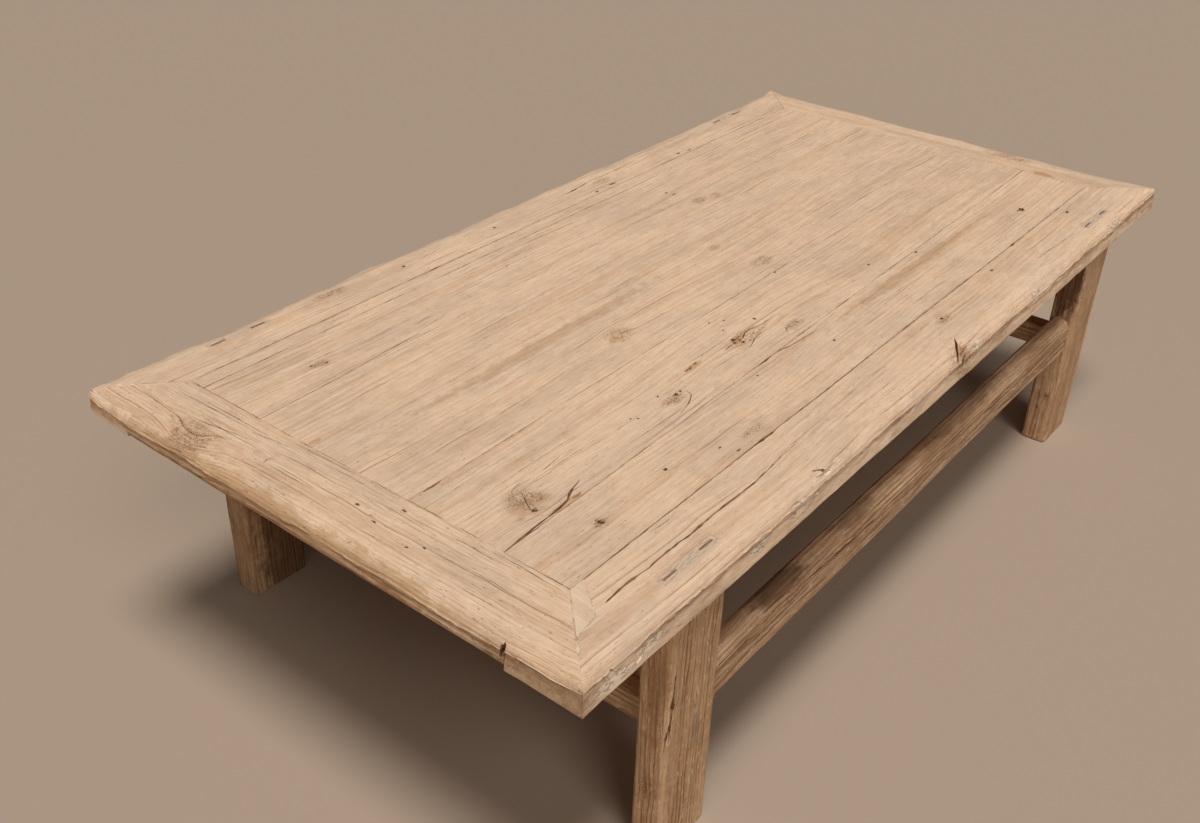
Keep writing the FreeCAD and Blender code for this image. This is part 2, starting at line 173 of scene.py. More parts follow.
def saw_off(piece, point, normal):
    """Saws off what lies on the side of a plane that its normal points to."""
    edit(piece)
    slit(point, normal, use_fill=True, clear_outer=True)
    put_down()


def round_edges(piece, radius, steps, chosen):
    """Rounds the edges that a rule chooses by their two ends."""
    corners = piece.data.vertices
    choose(piece, "edges", lambda edge: chosen(*(corners[index].co for index in edge.vertices)))
    bpy.ops.mesh.bevel(offset=radius, segments=steps, affect="EDGES")
    put_down()


def near(value, target):
    """Whether a coordinate is at a place, to a tenth of a millimetre."""
    return abs(value - target) < MERGE


def score(piece, axis, spacing):
    """Divides a piece by even cuts across one axis, so that wear can shape it."""
    reach = [corner.co[axis] for corner in piece.data.vertices]
    low, high = min(reach), max(reach)
    cuts = math.ceil((high - low) / spacing)
    direction = Vector((0, 0, 0))
    direction[axis] = 1
    edit(piece)
    for cut in range(1, cuts):
        slit(direction * (low + (high - low) * cut / cuts), direction)
    bpy.ops.mesh.select_all(action="SELECT")
    bpy.ops.mesh.remove_doubles(threshold=MERGE)
    put_down()


def refine(piece, chosen):
    """Divides the faces that a rule chooses by their middles, for the finer wear along an edge."""
    choose(piece, "polygons", lambda face: chosen(face.center))
    bpy.ops.mesh.subdivide(number_cuts=1)
    put_down()


def wear(piece, depth, hollow, seed, share=None, direction="NORMAL"):
    """Wears a surface inwards by up to a depth, in soft hollows as long, wide and high as given."""
    texture = bpy.data.textures.new("hollows", "CLOUDS")
    texture.noise_scale = 1
    texture.noise_depth = HOLLOW_DETAIL
    place = bpy.data.objects.new("hollows", None)
    bpy.context.scene.collection.objects.link(place)
    place.location = (seed, seed, seed)
    place.scale = hollow
    bpy.context.view_layer.update()
    modifier = piece.modifiers.new("wear", "DISPLACE")
    modifier.texture = texture
    modifier.texture_coords = "OBJECT"
    modifier.texture_coords_object = place
    modifier.strength = depth
    modifier.mid_level = 1
    modifier.direction = direction
    if share is not None:
        group = piece.vertex_groups.new(name="worn")
        for corner in piece.data.vertices:
            group.add([corner.index], share(corner.co), "REPLACE")
        modifier.vertex_group = group.name
    only(piece)
    bpy.ops.object.modifier_apply(modifier=modifier.name)
    piece.vertex_groups.clear()
    bpy.data.objects.remove(place)
    bpy.data.textures.remove(texture)


def blade(line, depth_share, place, chance, wall):
    """A thin blade along one crack, as wide at each point as it is there, to be cut out of the wood."""
    points = []
    for start, end in zip(line, line[1:]):
        start, end = Vector(start), Vector(end)
        steps = max(1, round((end - start).length / CRACK_STEP))
        for step in range(steps):
            point = start.lerp(end, step / steps)
            if points:
                point.x += chance.uniform(-CRACK_SWAY, CRACK_SWAY)
                point.y += chance.uniform(-CRACK_SWAY, CRACK_SWAY)
                point.z *= chance.uniform(*CRACK_WIDTH_SHARES)
            points.append(point)
    points.append(Vector(line[-1]))
    curve = bpy.data.curves.new("crack", "CURVE")
    curve.dimensions = "3D"
    curve.twist_mode = "Z_UP"
    curve.bevel_depth = UNIT_RADIUS
    curve.bevel_resolution = 0
    curve.use_fill_caps = True
    spline = curve.splines.new("POLY")
    spline.points.add(len(points) - 1)
    for dot, point in zip(spline.points, points):
        dot.co = (point.x, point.y, 0, 1)
        dot.radius = point.z
    knife = bpy.data.objects.new("crack", curve)
    bpy.context.scene.collection.objects.link(knife)
    only(knife)
    bpy.ops.object.convert(target="MESH")
    knife = bpy.context.object
    edit(knife)
    bpy.ops.mesh.remove_doubles(threshold=WELD)
    bpy.ops.mesh.normals_make_consistent(inside=False)
    put_down()
    knife.data.transform(place @ Matrix.Diagonal((1, 1, depth_share, 1)))
    knife.data.materials.append(wall)
    return knife


def gouge(centre, size, seed, wall, roughness_share=LUMP_ROUGHNESS_SHARE):
    """A rough lump of a given length, width and height, to be cut out of the wood as a pit or chip."""
    bpy.ops.object.select_all(action="DESELECT")
    bpy.ops.mesh.primitive_ico_sphere_add(subdivisions=LUMP_STEPS, radius=UNIT_RADIUS, location=(0, 0, 0))
    knife = bpy.context.object
    wear(knife, roughness_share, LUMP_HOLLOW_SHARES, seed)
    knife.data.transform(Matrix.Translation(centre) @ Matrix.Diagonal((*size, 1)))
    knife.data.materials.append(wall)
    return knife


def cut_out(pieces, knives):
    """Cuts knives out of pieces. The cut faces take the finish of the knife."""
    bpy.ops.object.select_all(action="DESELECT")
    for knife in knives:
        knife.select_set(True)
    bpy.context.view_layer.objects.active = knives[0]
    if len(knives) > 1:
        bpy.ops.object.join()
    knife = bpy.context.view_layer.objects.active
    for piece in pieces:
        modifier = piece.modifiers.new("cut", "BOOLEAN")
        modifier.object = knife
        modifier.solver = "MANIFOLD"
        modifier.material_mode = "TRANSFER"
        only(piece)
        bpy.ops.object.modifier_apply(modifier=modifier.name)
    bpy.data.objects.remove(knife)


class Wire:
    """One output of a shader node, which can be used in sums like a number."""

    def __init__(self, tree, socket):
        self.tree = tree
        self.socket = socket

    def node(self, kind, settings, inputs, output=0):
        """Adds a node of a kind, sets it, feeds its sockets and gives back one of its outputs."""
        made = self.tree.nodes.new(kind)
        for name, value in settings.items():
            setattr(made, name, value)
        for place, value in inputs.items():
            if isinstance(value, Wire):
                self.tree.links.new(made.inputs[place], value.socket)
            else:
                made.inputs[place].default_value = value
        return Wire(self.tree, made.outputs[output])

    def beside(self, output):
        """Another output of the same node."""
        return Wire(self.tree, self.socket.node.outputs[output])

    def math(self, operation, *others):
        """One Math node on this wire and others."""
        return self.node("ShaderNodeMath", {"operation": operation}, dict(enumerate((self, *others))))

    def __add__(self, other):
        return self.math("ADD", other)

    __radd__ = __add__

    def __sub__(self, other):
        return self.math("SUBTRACT", other)

    def __rsub__(self, other):
        return self.math("MULTIPLY_ADD", -1, other)

    def __mul__(self, other):
        return self.math("MULTIPLY", other)

    __rmul__ = __mul__

    def __truediv__(self, other):
        return self.math("DIVIDE", other)

    def __pow__(self, other):
        return self.math("POWER", other)

    def rise(self, low, high):
        """Rises smoothly from 0 to 1 as this wire goes from low to high."""
        settings = {"interpolation_type": "SMOOTHSTEP"}
        return self.node("ShaderNodeMapRange", settings, {0: self, 1: low, 2: high})

    def ridge(self, level, width):
        """Is 1 where this wire is at a level and falls to 0 a width away from it: a thin winding line."""
        return (1 - (self - level).math("ABSOLUTE") / width).math("MAXIMUM", 0)

    def tint(self, first, second):
        """Goes from the first colour to the second as this wire goes from 0 to 1."""
        return self.node("ShaderNodeMix", {"data_type": "RGBA"}, {0: self, 6: first, 7: second}, 2)

    def shade(self, colour, shares):
        """Darkens a colour to the given shares of itself as this wire goes from 0 to 1."""
        settings = {"data_type": "RGBA", "blend_type": "MULTIPLY"}
        return self.node("ShaderNodeMix", settings, {0: self, 6: colour, 7: shares}, 2)


STREAK_ROUGHNESS_SHARE = 0.6


def streaks(place, along, length, width, seed, detail):
    """Noise drawn out along the grain, in streaks about so long and so wide."""
    scale = [1 / width] * 3
    scale[along] = 1 / length
    start = (seed, seed, seed)
    moved = place.node("ShaderNodeMapping", {}, {"Vector": place, "Location": start, "Scale": scale})
    settings = {"Vector": moved, "Scale": 1, "Detail": detail, "Roughness": STREAK_ROUGHNESS_SHARE}
    return moved.node("ShaderNodeTexNoise", {}, settings)


def spot(places, middle, reach):
    """How near a place is to the middle of an oval mark: 1 in the middle, 0 well outside."""
    total = 0
    for place, centre, size in zip(places, middle, reach):
        part = (place - centre) / size
        total = part * part + total
    return (-1 * total).math("EXPONENT")


def new_finish(name):
    """An empty finish, and the wire that says where each point of the piece lies."""
    material = bpy.data.materials.new(name)
    material.use_nodes = True
    return material, Wire(material.node_tree, None).node("ShaderNodeTexCoord", {}, {}, "Object")


RELIEF_DEPTH = 0.001


def lay_on(material, colour, rough, height, relief_share):
    """Gives a finish its colour, its roughness and its fine relief."""
    settings = {"Height": height, "Strength": relief_share, "Distance": RELIEF_DEPTH}
    bump = height.node("ShaderNodeBump", {}, settings)
    shader = material.node_tree.nodes["Principled BSDF"]
    for socket, wire in (("Base Color", colour), ("Roughness", rough), ("Normal", bump)):
        material.node_tree.links.new(shader.inputs[socket], wire.socket)


SANDED = (0.795, 0.558, 0.374, 1)
GREYED = (0.685, 0.490, 0.342, 1)
RUBBED = (0.85, 0.65, 0.465, 1)
SCUFFED = (0.84, 0.67, 0.50, 1)
OLD_SKIN = (0.66, 0.465, 0.30, 1)
OLD_SKIN_DARK = (0.45, 0.29, 0.17, 1)
KNOT_ORANGE = (0.46, 0.20, 0.055, 1)
TAN = (0.54, 0.335, 0.19, 1)
CRUST = (0.76, 0.62, 0.46, 1)
BAND_SHARES = (0.88, 0.81, 0.74, 1)
FIBRE_SHARES = (0.82, 0.75, 0.68, 1)
LATE_WOOD_SHARES = (0.66, 0.56, 0.46, 1)
CHECK_SHARES = (0.40, 0.28, 0.19, 1)
FLECK_SHARES = (0.55, 0.44, 0.34, 1)
KNOT_SHARES = (0.72, 0.60, 0.48, 1)
KNOT_HEART_SHARES = (0.30, 0.20, 0.12, 1)
END_GRAIN_SHARES = (0.86, 0.76, 0.66, 1)
GRAIN_PARTING_SHARE = 0.6
SWELL_SHARE = 0.3
RING_GAP = 0.0072
RING_SHARE = 0.95
LINE_POWER = 3.5
CHECK_POWER = 14
NOISE_MIDDLE = 0.5
LONG_LEAN = 0.040
SHORT_LEAN = 0.010
# Each kind of streak: how long and how wide it is, its step from the piece's seed, and its detail
STREAKS = {
    "long_lean": (0.60, 0.20, 0, 1),
    "short_lean": (0.15, 0.05, 3, 2),
    "broken": (0.12, 0.010, 5, 2),
    "patches": (0.16, 0.06, 7, 4),
    "bands": (0.7, 0.022, 11, 2),
    "fibres": (0.09, 0.0020, 17, 2),
    "hairs": (0.035, 0.0011, 19, 1),
    "flecks": (0.009, 0.0016, 23, 1),
    "rubs": (0.10, 0.008, 29, 4),
    "curl": (0.008, 0.0042, 31, 3),
    "smear": (0.12, 0.014, 37, 4),
    "mottle": (0.022, 0.014, 41, 5),
    "scuffs": (0.014, 0.0030, 43, 3),
    "crackle": (0.016, 0.008, 47, 2),
}
# Each kind of mark: the level where it starts to show, where it shows most, and how much that is
MARK_SHARES = {
    "ring_front": (0, 0.08, 1),
    "broken": (0.38, 0.60, 0.7),
    "strong": (0.80, 0.84, 1),
    "parted": (0.53, 0.57, 1),
    "check_front": (0, 0.03, 1),
    "ends": (0.4, 0.9, 1),
    "sanded": (-0.05, 0.45, 1),
    "patches": (0.40, 0.62, 0.85),
    "rubs": (0.50, 0.66, 0.35),
    "old": (0.40, 0.70, 1),
    "old_rubs": (0.52, 0.64, 0.5),
    "stain_and_shade": (0.30, 0.70, 1),
    "bands": (0.50, 0.64, 0.6),
    "mottle": (0.42, 0.62, 1),
    "fibres": (0.50, 0.62, 0.36),
    "hairs": (0.50, 0.60, 0.45),
    "flecks": (0.70, 0.74, 0.7),
    "fleck_pits": (0.62, 0.74, 0.4),
    "scuffs": (0.60, 0.66, 1),
    "knot": (0.15, 0.95, 0.3),
    "knot_heart": (0.25, 0.75, 0.75),
    "knot_specks": (0.45, 0.95, 0.75),
    "specks": (0.60, 0.64, 1),
    "crust": (0.30, 0.60, 1),
}
# How much stronger a mark is where the old skin is left, and how strong it is on sanded wood
SKIN_SHARES = {"mottle": (0.3, 0.25), "rings": (0.6, 1), "scuffs": (0.45, 0.15), "relief": (1.4, 0.2)}
# How deep each kind of mark lies in the fine relief
DEPTH_SHARES = {"lines": 0.5, "fibres": 0.7, "hairs": 0.25, "checks": 0.8, "mottle": 0.5}
RING_VARIATION_SHARES = (0.8, 0.2)
LEAST_LINE_SHARE = 0.3
SMEAR_SHARE = 0.4
END_GRAIN_SHARE = 0.8
END_STREAK_SHARE = 0.75
STAIN_AND_SHADE_RUB_SHARE = 0.6
MOTTLED_SHARE = 0.9
KNOT_RING_SHARE = 0.5
SKIN_RING_SHARE = 0.8
WINDING_SHARES = (0.5, 0.05)
CRACKLE_LINE_SHARES = (0.5, 0.07)
CRUST_SHARE = 0.6
CRACKLE_SHARE = 0.55
RELIEF_SHARE = 0.6
ROUGH_SHARES = (0.18, 0.6)
SHINE_SHARE = 0.25


def shown(wire, kind):
    """How strongly a kind of mark shows as this wire rises through its levels."""
    low, high, most = MARK_SHARES[kind]
    return wire.rise(low, high) * most


def varied(noise, share):
    """Noise about zero, as strong as a share."""
    return (noise - NOISE_MIDDLE) * share


def elm(name, along, pith, seed, knots=(), stains=(), crusts=(), ring_gap=RING_GAP, ring_share=RING_SHARE,
        line_power=LINE_POWER, sanded=SANDED, skin=OLD_SKIN, skin_dark=OLD_SKIN_DARK, grain_share=1):
    """Old elm with its grain along one axis: year rings about a pith line, streaks, knots and wear."""
    material, place = new_finish(name)
    run = place.node("ShaderNodeSeparateXYZ", {}, {0: place}, along)
    across_axis, deep_axis = [axis for axis in (0, 1, 2) if axis != along]
    across = run.beside(across_axis)
    deep = run.beside(deep_axis)

    def noise(kind, source):
        """Streaks of one kind along the grain of this piece."""
        length, width, step, detail = STREAKS[kind]
        return streaks(source, along, length, width, seed + step, detail)

    # The grain leans to and fro along the piece and parts round its knots
    lean = varied(noise("long_lean", place), LONG_LEAN) + varied(noise("short_lean", place), SHORT_LEAN)
    leaning = across + lean
    swelling = 0
    knot_shade = 0
    for middle, reach, push in knots:
        closeness = spot((run, across, deep), middle, reach)
        leaning = leaning - (across - middle[1]) * closeness * GRAIN_PARTING_SHARE
        swelling = closeness * (push * SWELL_SHARE) + swelling
        knot_shade = closeness.math("MAXIMUM", knot_shade)
    grain = place.node("ShaderNodeCombineXYZ", {}, {along: run, across_axis: leaning, deep_axis: deep})

    # Year rings about the pith, each with its own strength, swelling over the knots
    aside = leaning - pith[0]
    below = deep - pith[1]
    rings = (aside * aside + below * below).math("SQRT") + swelling
    turns = rings / ring_gap
    phase = turns.math("FRACT")
    count = turns.math("FLOOR")
    strength = count.node("ShaderNodeTexWhiteNoise", {"noise_dimensions": "1D"}, {"W": count})
    broken = noise("broken", grain)
    line = (1 - phase) ** line_power * shown(phase, "ring_front")
    line = line * (strength * RING_VARIATION_SHARES[0] + RING_VARIATION_SHARES[1])
    lines = line * (shown(broken, "broken") + LEAST_LINE_SHARE)
    split = shown(strength, "strong") * shown(broken, "parted")
    checked = split * ((1 - phase) ** CHECK_POWER) * shown(phase, "check_front")

    # Where a face was never sanded it keeps a darker skin, and where it is cut across it shows its ends
    facing = place.node("ShaderNodeNewGeometry", {}, {}, "Normal")
    facing = facing.node("ShaderNodeSeparateXYZ", {}, {0: facing}, 2)
    ends = shown(facing.beside(along).math("ABSOLUTE"), "ends")
    smear = noise("smear", place)
    bare = 1 - shown(facing + varied(smear, SMEAR_SHARE), "sanded")

    def by_skin(kind):
        """How strong a kind of mark is, from sanded wood to old skin."""
        more, least = SKIN_SHARES[kind]
        return bare * more + least

    # The wood from its palest tone down to its darkest marks
    fibres = noise("fibres", grain)
    hairs = noise("hairs", grain)
    flecks = noise("flecks", grain)
    rubs = noise("rubs", grain)
    mottle = noise("mottle", place)
    curl = noise("curl", grain)
    along_share = 1 - ends * END_STREAK_SHARE
    grain_strength = along_share * grain_share
    colour = shown(noise("patches", grain), "patches").tint(sanded, GREYED if sanded is SANDED else skin)
    colour = shown(rubs, "rubs").tint(colour, RUBBED if sanded is SANDED else sanded)
    old = shown(smear, "old").tint(skin, skin_dark)
    old = shown(rubs, "old_rubs").tint(old, sanded)
    colour = bare.tint(colour, old)
    colour = (ends * END_GRAIN_SHARE).shade(colour, END_GRAIN_SHARES)
    # Stains, and on two legs spots of painted shade where the table top shades them, each tint a soft spot
    # towards its colour
    unstained_unshaded = 1
    for middle, reach, stain_and_shade, share in stains:
        mark = spot((run, across, deep), middle, reach)
        mark = mark + varied(rubs, STAIN_AND_SHADE_RUB_SHARE) + varied(mottle, MOTTLED_SHARE)
        mark = shown(mark, "stain_and_shade") * share
        colour = mark.tint(colour, stain_and_shade)
        unstained_unshaded = (1 - mark) * unstained_unshaded
    colour = shown(noise("bands", grain), "bands").shade(colour, BAND_SHARES)
    colour = (shown(mottle, "mottle") * by_skin("mottle")).shade(colour, FIBRE_SHARES)
    colour = (shown(fibres, "fibres") * grain_strength).shade(colour, FIBRE_SHARES)
    colour = (shown(hairs, "hairs") * grain_strength).shade(colour, FIBRE_SHARES)
    ring_strength = grain_strength * (knot_shade * KNOT_RING_SHARE + ring_share)
    colour = (lines * ring_strength * by_skin("rings")).shade(colour, LATE_WOOD_SHARES)
    colour = (lines * bare * SKIN_RING_SHARE * grain_strength).shade(colour, LATE_WOOD_SHARES)
    colour = (checked * grain_strength).shade(colour, CHECK_SHARES)
    colour = (shown(flecks, "flecks") * grain_share).shade(colour, FLECK_SHARES)
    # Pale scuffs, kept off the stains and the painted shade
    scuffs = shown(noise("scuffs", grain), "scuffs")
    colour = (scuffs * unstained_unshaded * by_skin("scuffs")).tint(colour, SCUFFED)
    if knots:
        rough_shade = knot_shade + varied(mottle, MOTTLED_SHARE)
        winding = shown(rough_shade, "knot_heart") * curl.ridge(*WINDING_SHARES)
        specks = shown(rough_shade, "knot_specks") * shown(curl, "specks")
        colour = shown(rough_shade, "knot").shade(colour, KNOT_SHARES)
        colour = winding.shade(colour, KNOT_HEART_SHARES)
        colour = specks.shade(colour, KNOT_HEART_SHARES)

    # Crusts of an older finish, left along the rounded arrises
    crust = 0
    crackle = noise("crackle", place).ridge(*CRACKLE_LINE_SHARES)
    for middle, reach in crusts:
        nearness = spot((run, across, deep), middle, reach) + varied(mottle, 1)
        crust = shown(nearness, "crust").math("MAXIMUM", crust)
    if crusts:
        colour = (crust * CRUST_SHARE).tint(colour, CRUST)
        colour = (crust * crackle * CRACKLE_SHARE).shade(colour, KNOT_HEART_SHARES)

    # The fine relief of the same marks
    depth = lines * DEPTH_SHARES["lines"] + fibres * DEPTH_SHARES["fibres"] + hairs * DEPTH_SHARES["hairs"]
    depth = depth * along_share * (by_skin("relief") * grain_share) + shown(flecks, "fleck_pits")
    depth = depth + checked * DEPTH_SHARES["checks"] + mottle * bare * DEPTH_SHARES["mottle"]
    height = (depth + crackle * crust) * -1
    lay_on(material, colour, fibres * ROUGH_SHARES[0] + ROUGH_SHARES[1], height, RELIEF_SHARE)
    material.node_tree.nodes["Principled BSDF"].inputs["Specular IOR Level"].default_value = SHINE_SHARE
    return material


PLAIN_SHARES = (0.38, 0.62)
PLAIN_LENGTH_SHARE = 6
PLAIN_DETAIL = 3
PLAIN_RELIEF_SHARE = 0.5
PLAIN_ROUGH_SHARES = (0.2, 0.7)
PLAIN_WOODS = [
    ("crack_wall", (0.36, 0.185, 0.078, 1), (0.12, 0.056, 0.022, 1), 0.03, 1),
    ("hairline_wall", (0.42, 0.245, 0.125, 1), (0.22, 0.115, 0.052, 1), 0.03, 2),
    ("seam_wall", (0.42, 0.25, 0.13, 1), (0.22, 0.12, 0.056, 1), 0.04, 8),
    ("mitre_filling", (0.80, 0.62, 0.45, 1), (0.52, 0.37, 0.24, 1), 0.05, 9),
    ("orange_wall", (0.66, 0.36, 0.15, 1), (0.40, 0.19, 0.07, 1), 0.008, 3),
    ("torn_wood", (0.84, 0.67, 0.49, 1), (0.52, 0.35, 0.21, 1), 0.035, 4),
    ("pit_wall", (0.38, 0.22, 0.12, 1), (0.15, 0.078, 0.038, 1), 0.006, 5),
]


def plain_wood(name, light, dark, length, seed):
    """Bare wood with no year rings to see: the wall of a crack or the torn wood of a chip."""
    material, place = new_finish(name)
    grain = streaks(place, 0, length, length / PLAIN_LENGTH_SHARE, seed, PLAIN_DETAIL)
    colour = grain.rise(*PLAIN_SHARES).tint(light, dark)
    rough = grain * PLAIN_ROUGH_SHARES[0] + PLAIN_ROUGH_SHARES[1]
    lay_on(material, colour, rough, grain, PLAIN_RELIEF_SHARE)
    return material


CRACK_WALL, HAIRLINE_WALL, SEAM_WALL, MITRE_FILLING, ORANGE_WALL, TORN_WOOD, PIT_WALL = [
    plain_wood(*wood) for wood in PLAIN_WOODS]


def brush_off(piece):
    """Deletes the loose splinters that the cuts along a joint leave beside a piece."""
    lowest = min(piece.data.vertices, key=lambda corner: corner.co.z).index
    choose(piece, "vertices", lambda corner: corner.index == lowest)
    bpy.ops.mesh.select_linked()
    bpy.ops.mesh.select_all(action="INVERT")
    bpy.ops.mesh.delete(type="VERT")
    put_down()


def finish_piece(piece, node):
    """Gives a finished piece its smooth faces and its place in the frame."""
    brush_off(piece)
    only(piece)
    bpy.ops.object.shade_smooth_by_angle(angle=SMOOTH_ANGLE)
    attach(piece, "root")
    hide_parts(node)


SMOOTH_ANGLE = math.radians(38)


def top_block(name, under_arris):
    """A block as large as the whole top, its corners and arrises rounded, to saw a rail from."""
    shell = Vector((SHELL, SHELL, 0))
    low = Vector((cad_bounds[0].x, cad_bounds[0].y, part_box("front_rail")[0].z)) + shell
    piece = sawn_block(name, low, cad_bounds[1] - shell)
    round_edges(piece, REAR_LEFT_RADIUS, ARRIS_STEPS,
                lambda start, end: not near(start.z, end.z) and start.x < 0 < start.y)
    round_edges(piece, CORNER_RADIUS, CORNER_STEPS,
                lambda start, end: near(abs(start.z - end.z), TOP_HEIGHT - low.z) and start.x > 0)
    round_edges(piece, TOP_ARRIS_RADIUS, ARRIS_STEPS,
                lambda start, end: near(start.z, TOP_HEIGHT) and near(end.z, TOP_HEIGHT))
    round_edges(piece, under_arris, ARRIS_STEPS,
                lambda start, end: near(start.z, low.z) and near(end.z, low.z))
    return piece


opening_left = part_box("left_rail")[1].x
opening_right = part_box("right_rail")[0].x
opening_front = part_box("front_rail")[1].y
opening_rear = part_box("rear_rail")[0].y
LONG_SIDES = ((cad_bounds[0].y, opening_front), (cad_bounds[1].y, opening_rear))
ENDS = ((cad_bounds[0].x, opening_left), (cad_bounds[1].x, opening_right))
lip_underside = TOP_HEIGHT - LIP_THICKNESS
TOP_PLACE = Matrix.Translation((0, 0, TOP_HEIGHT - TOP_WEAR))
rail_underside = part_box("front_rail")[0].z


def mitre_normal(end_x, side_y, inner_x, inner_y):
    """The direction across a mitre, pointing to the long rail's side."""
    run = Vector((inner_x - end_x, inner_y - side_y, 0))
    normal = run.cross(UP).normalized()
    return normal if normal.y * side_y > 0 else -normal


def lip_knife(end_x, side_y, inner_x, inner_y):
    """The three-cornered lip of an end rail over a long rail, as a knife a seam larger than it is."""
    past_x = end_x + math.copysign(OVERRUN, end_x)
    past_y = side_y + math.copysign(OVERRUN, side_y)
    knife = sawn_block("lip", (past_x, past_y, lip_underside - SEAM),
                       (inner_x, inner_y - math.copysign(SEAM, side_y), TOP_HEIGHT + OVERRUN))
    normal = mitre_normal(end_x, side_y, inner_x, inner_y)
    saw_off(knife, Vector((inner_x, inner_y, 0)) + normal * SEAM / 2, normal)
    knife.data.materials.append(SEAM_WALL)
    return knife


def mortise_knife(leg):
    """The slot of a leg's tenon through a long rail, a seam larger than the tenon."""
    low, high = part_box(leg)
    middle = (low.y + high.y) / 2
    reach = LEG_TENON_THICKNESS / 2 + SEAM
    knife = sawn_block("mortise", (low.x - SEAM, middle - reach, low.z),
                       (high.x + SEAM, middle + reach, TOP_HEIGHT + OVERRUN))
    knife.data.materials.append(MITRE_FILLING)
    return knife


def from_long_side(point):
    """How far a point lies inside the nearer long side of the top."""
    return cad_bounds[1].y - abs(point.y)


def from_end(point):
    """How far a point lies inside the nearer end of the top."""
    return cad_bounds[1].x - abs(point.x)


def from_edge(point):
    """How far a point lies inside the nearest side or end of the top."""
    return min(from_long_side(point), from_end(point))


def fade(distance, reach, full=1.0):
    """Fades from a full share at no distance to nothing at the end of the reach."""
    return min(1, max(0, full - distance / reach))


def height_share(point):
    """How high a point lies in the thickness of the top: 0 at the underside and 1 at the face."""
    return max(0, min(1, (point.z - rail_underside) / (TOP_HEIGHT - rail_underside)))


def open_share(point):
    """How open to wear a point of an outer face is: least at the crisp lower arris."""
    return LEAST_WEAR_SHARE + (1 - LEAST_WEAR_SHARE) * min(1, height_share(point) * LOW_FADE_SHARE)


def softened(point):
    """How strongly the upper arris was rounded over by use, less so at the corners."""
    from_corner = max(from_long_side(point), from_end(point))
    share = fade(from_edge(point), ARRIS_REACH) ** 2
    return share * height_share(point) * min(1, from_corner / CORNER_REACH)


def sloped(point):
    """How strongly the upper half of a long side leans in, less so at the corners."""
    share = fade(from_long_side(point), ARRIS_REACH) ** 2
    return share * height_share(point) * min(1, from_end(point) / CORNER_REACH)


def near_sloped(point):
    """The same for the near long side only."""
    return float(point.y < 0) * sloped(point)


def far_sloped(point):
    """The same for the far long side only."""
    return float(point.y > 0) * sloped(point)


def lifted(point):
    """How strongly the underside is rounded up towards the rear left corner."""
    share = fade(point.x - cad_bounds[0].x, ROLL_REACH) * (1 - height_share(point))
    return share ** 2 * fade(cad_bounds[1].y - point.y, LIFT_REACH, LIFT_FULL_SHARE)


def rolled(point):
    """How strongly the left end is rolled over, where the log was round, short of the near corner."""
    from_near_end = point.y - opening_front
    from_far_end = cad_bounds[1].y - point.y
    ends = min(1, max(0, from_near_end / ROLL_FADE), from_far_end / CORNER_REACH)
    return fade(point.x - cad_bounds[0].x, ROLL_REACH) ** 2 * height_share(point) * ends


def edge_worn(point):
    """How strongly the outer edges are worn, least along the crisp lower arris."""
    return fade(from_edge(point), EDGE_REACH) * open_share(point)


def side_worn(point):
    """How strongly the long sides are furrowed along their grain, short of the corners."""
    share = fade(from_long_side(point), SIDE_REACH, WORN_FULL_SHARE)
    return share * min(1, from_end(point) / ARRIS_REACH) * open_share(point)


def end_worn(point):
    """How strongly the two ends are furrowed along their grain, short of the corners."""
    share = fade(from_end(point), END_REACH, WORN_FULL_SHARE)
    return share * min(1, from_long_side(point) / ARRIS_REACH) * open_share(point)


EDGE_REACH = 0.024
SIDE_REACH = 0.016
END_REACH = 0.020
ARRIS_REACH = 0.040
LIFT_REACH = 0.10
ROLL_REACH = 0.045
ROLL_FADE = 0.05
CORNER_REACH = 0.045
LEAST_WEAR_SHARE = 0.3
LOW_FADE_SHARE = 2.0
WORN_FULL_SHARE = 1.2
LIFT_FULL_SHARE = 1.5
FACE_WEAR = (0.0014, (0.13, 0.13, 0.13), 1.7)
# Each wear of the top: how deep, the size of its hollows, its seed, where it acts and along which axis
TOP_WEARS = [
    FACE_WEAR,
    (0.0036, (0.07, 0.07, 0.04), 6.7, edge_worn),
    (0.0016, (0.09, 0.009, 0.009), 9.2, side_worn),
    (0.0018, (0.009, 0.09, 0.009), 9.9, end_worn),
    (0.0022, (0.018, 0.012, 0.012), 5.8, side_worn),
    (0.0024, (0.010, 0.14, 0.010), 7.3, rolled),
    (0.0180, (0.10, 0.10, 0.10), 3.9, softened, "Z"),
    (-0.0150, (0.10, 0.10, 0.10), 3.9, near_sloped, "Y"),
    (0.0150, (0.10, 0.10, 0.10), 3.9, far_sloped, "Y"),
    (-0.0260, (0.10, 0.10, 0.10), 6.1, lifted, "Z"),
    (0.0200, (0.10, 0.20, 0.10), 4.3, rolled, "Z"),
    (-0.0160, (0.10, 0.20, 0.10), 4.3, rolled, "X"),
]


def worn_top(name, wood, along, under_arris, cuts):
    """A piece of the top as the whole block was worn, sawn exactly by planes after the wear."""
    piece = top_block(name, under_arris)
    piece.data.materials.append(wood)
    for point, normal in cuts:
        saw_off(piece, Vector(point) + Vector(normal) * MARGIN, normal)
    score(piece, 2, SCORE_WIDE)
    score(piece, 1 - along, SCORE_WIDE)
    score(piece, along, SCORE_LONG)
    refine(piece, lambda middle: from_edge(middle) < EDGE_BAND)
    for wearing in TOP_WEARS:
        wear(piece, *wearing)
    for point, normal in cuts:
        saw_off(piece, point, normal)
    return piece


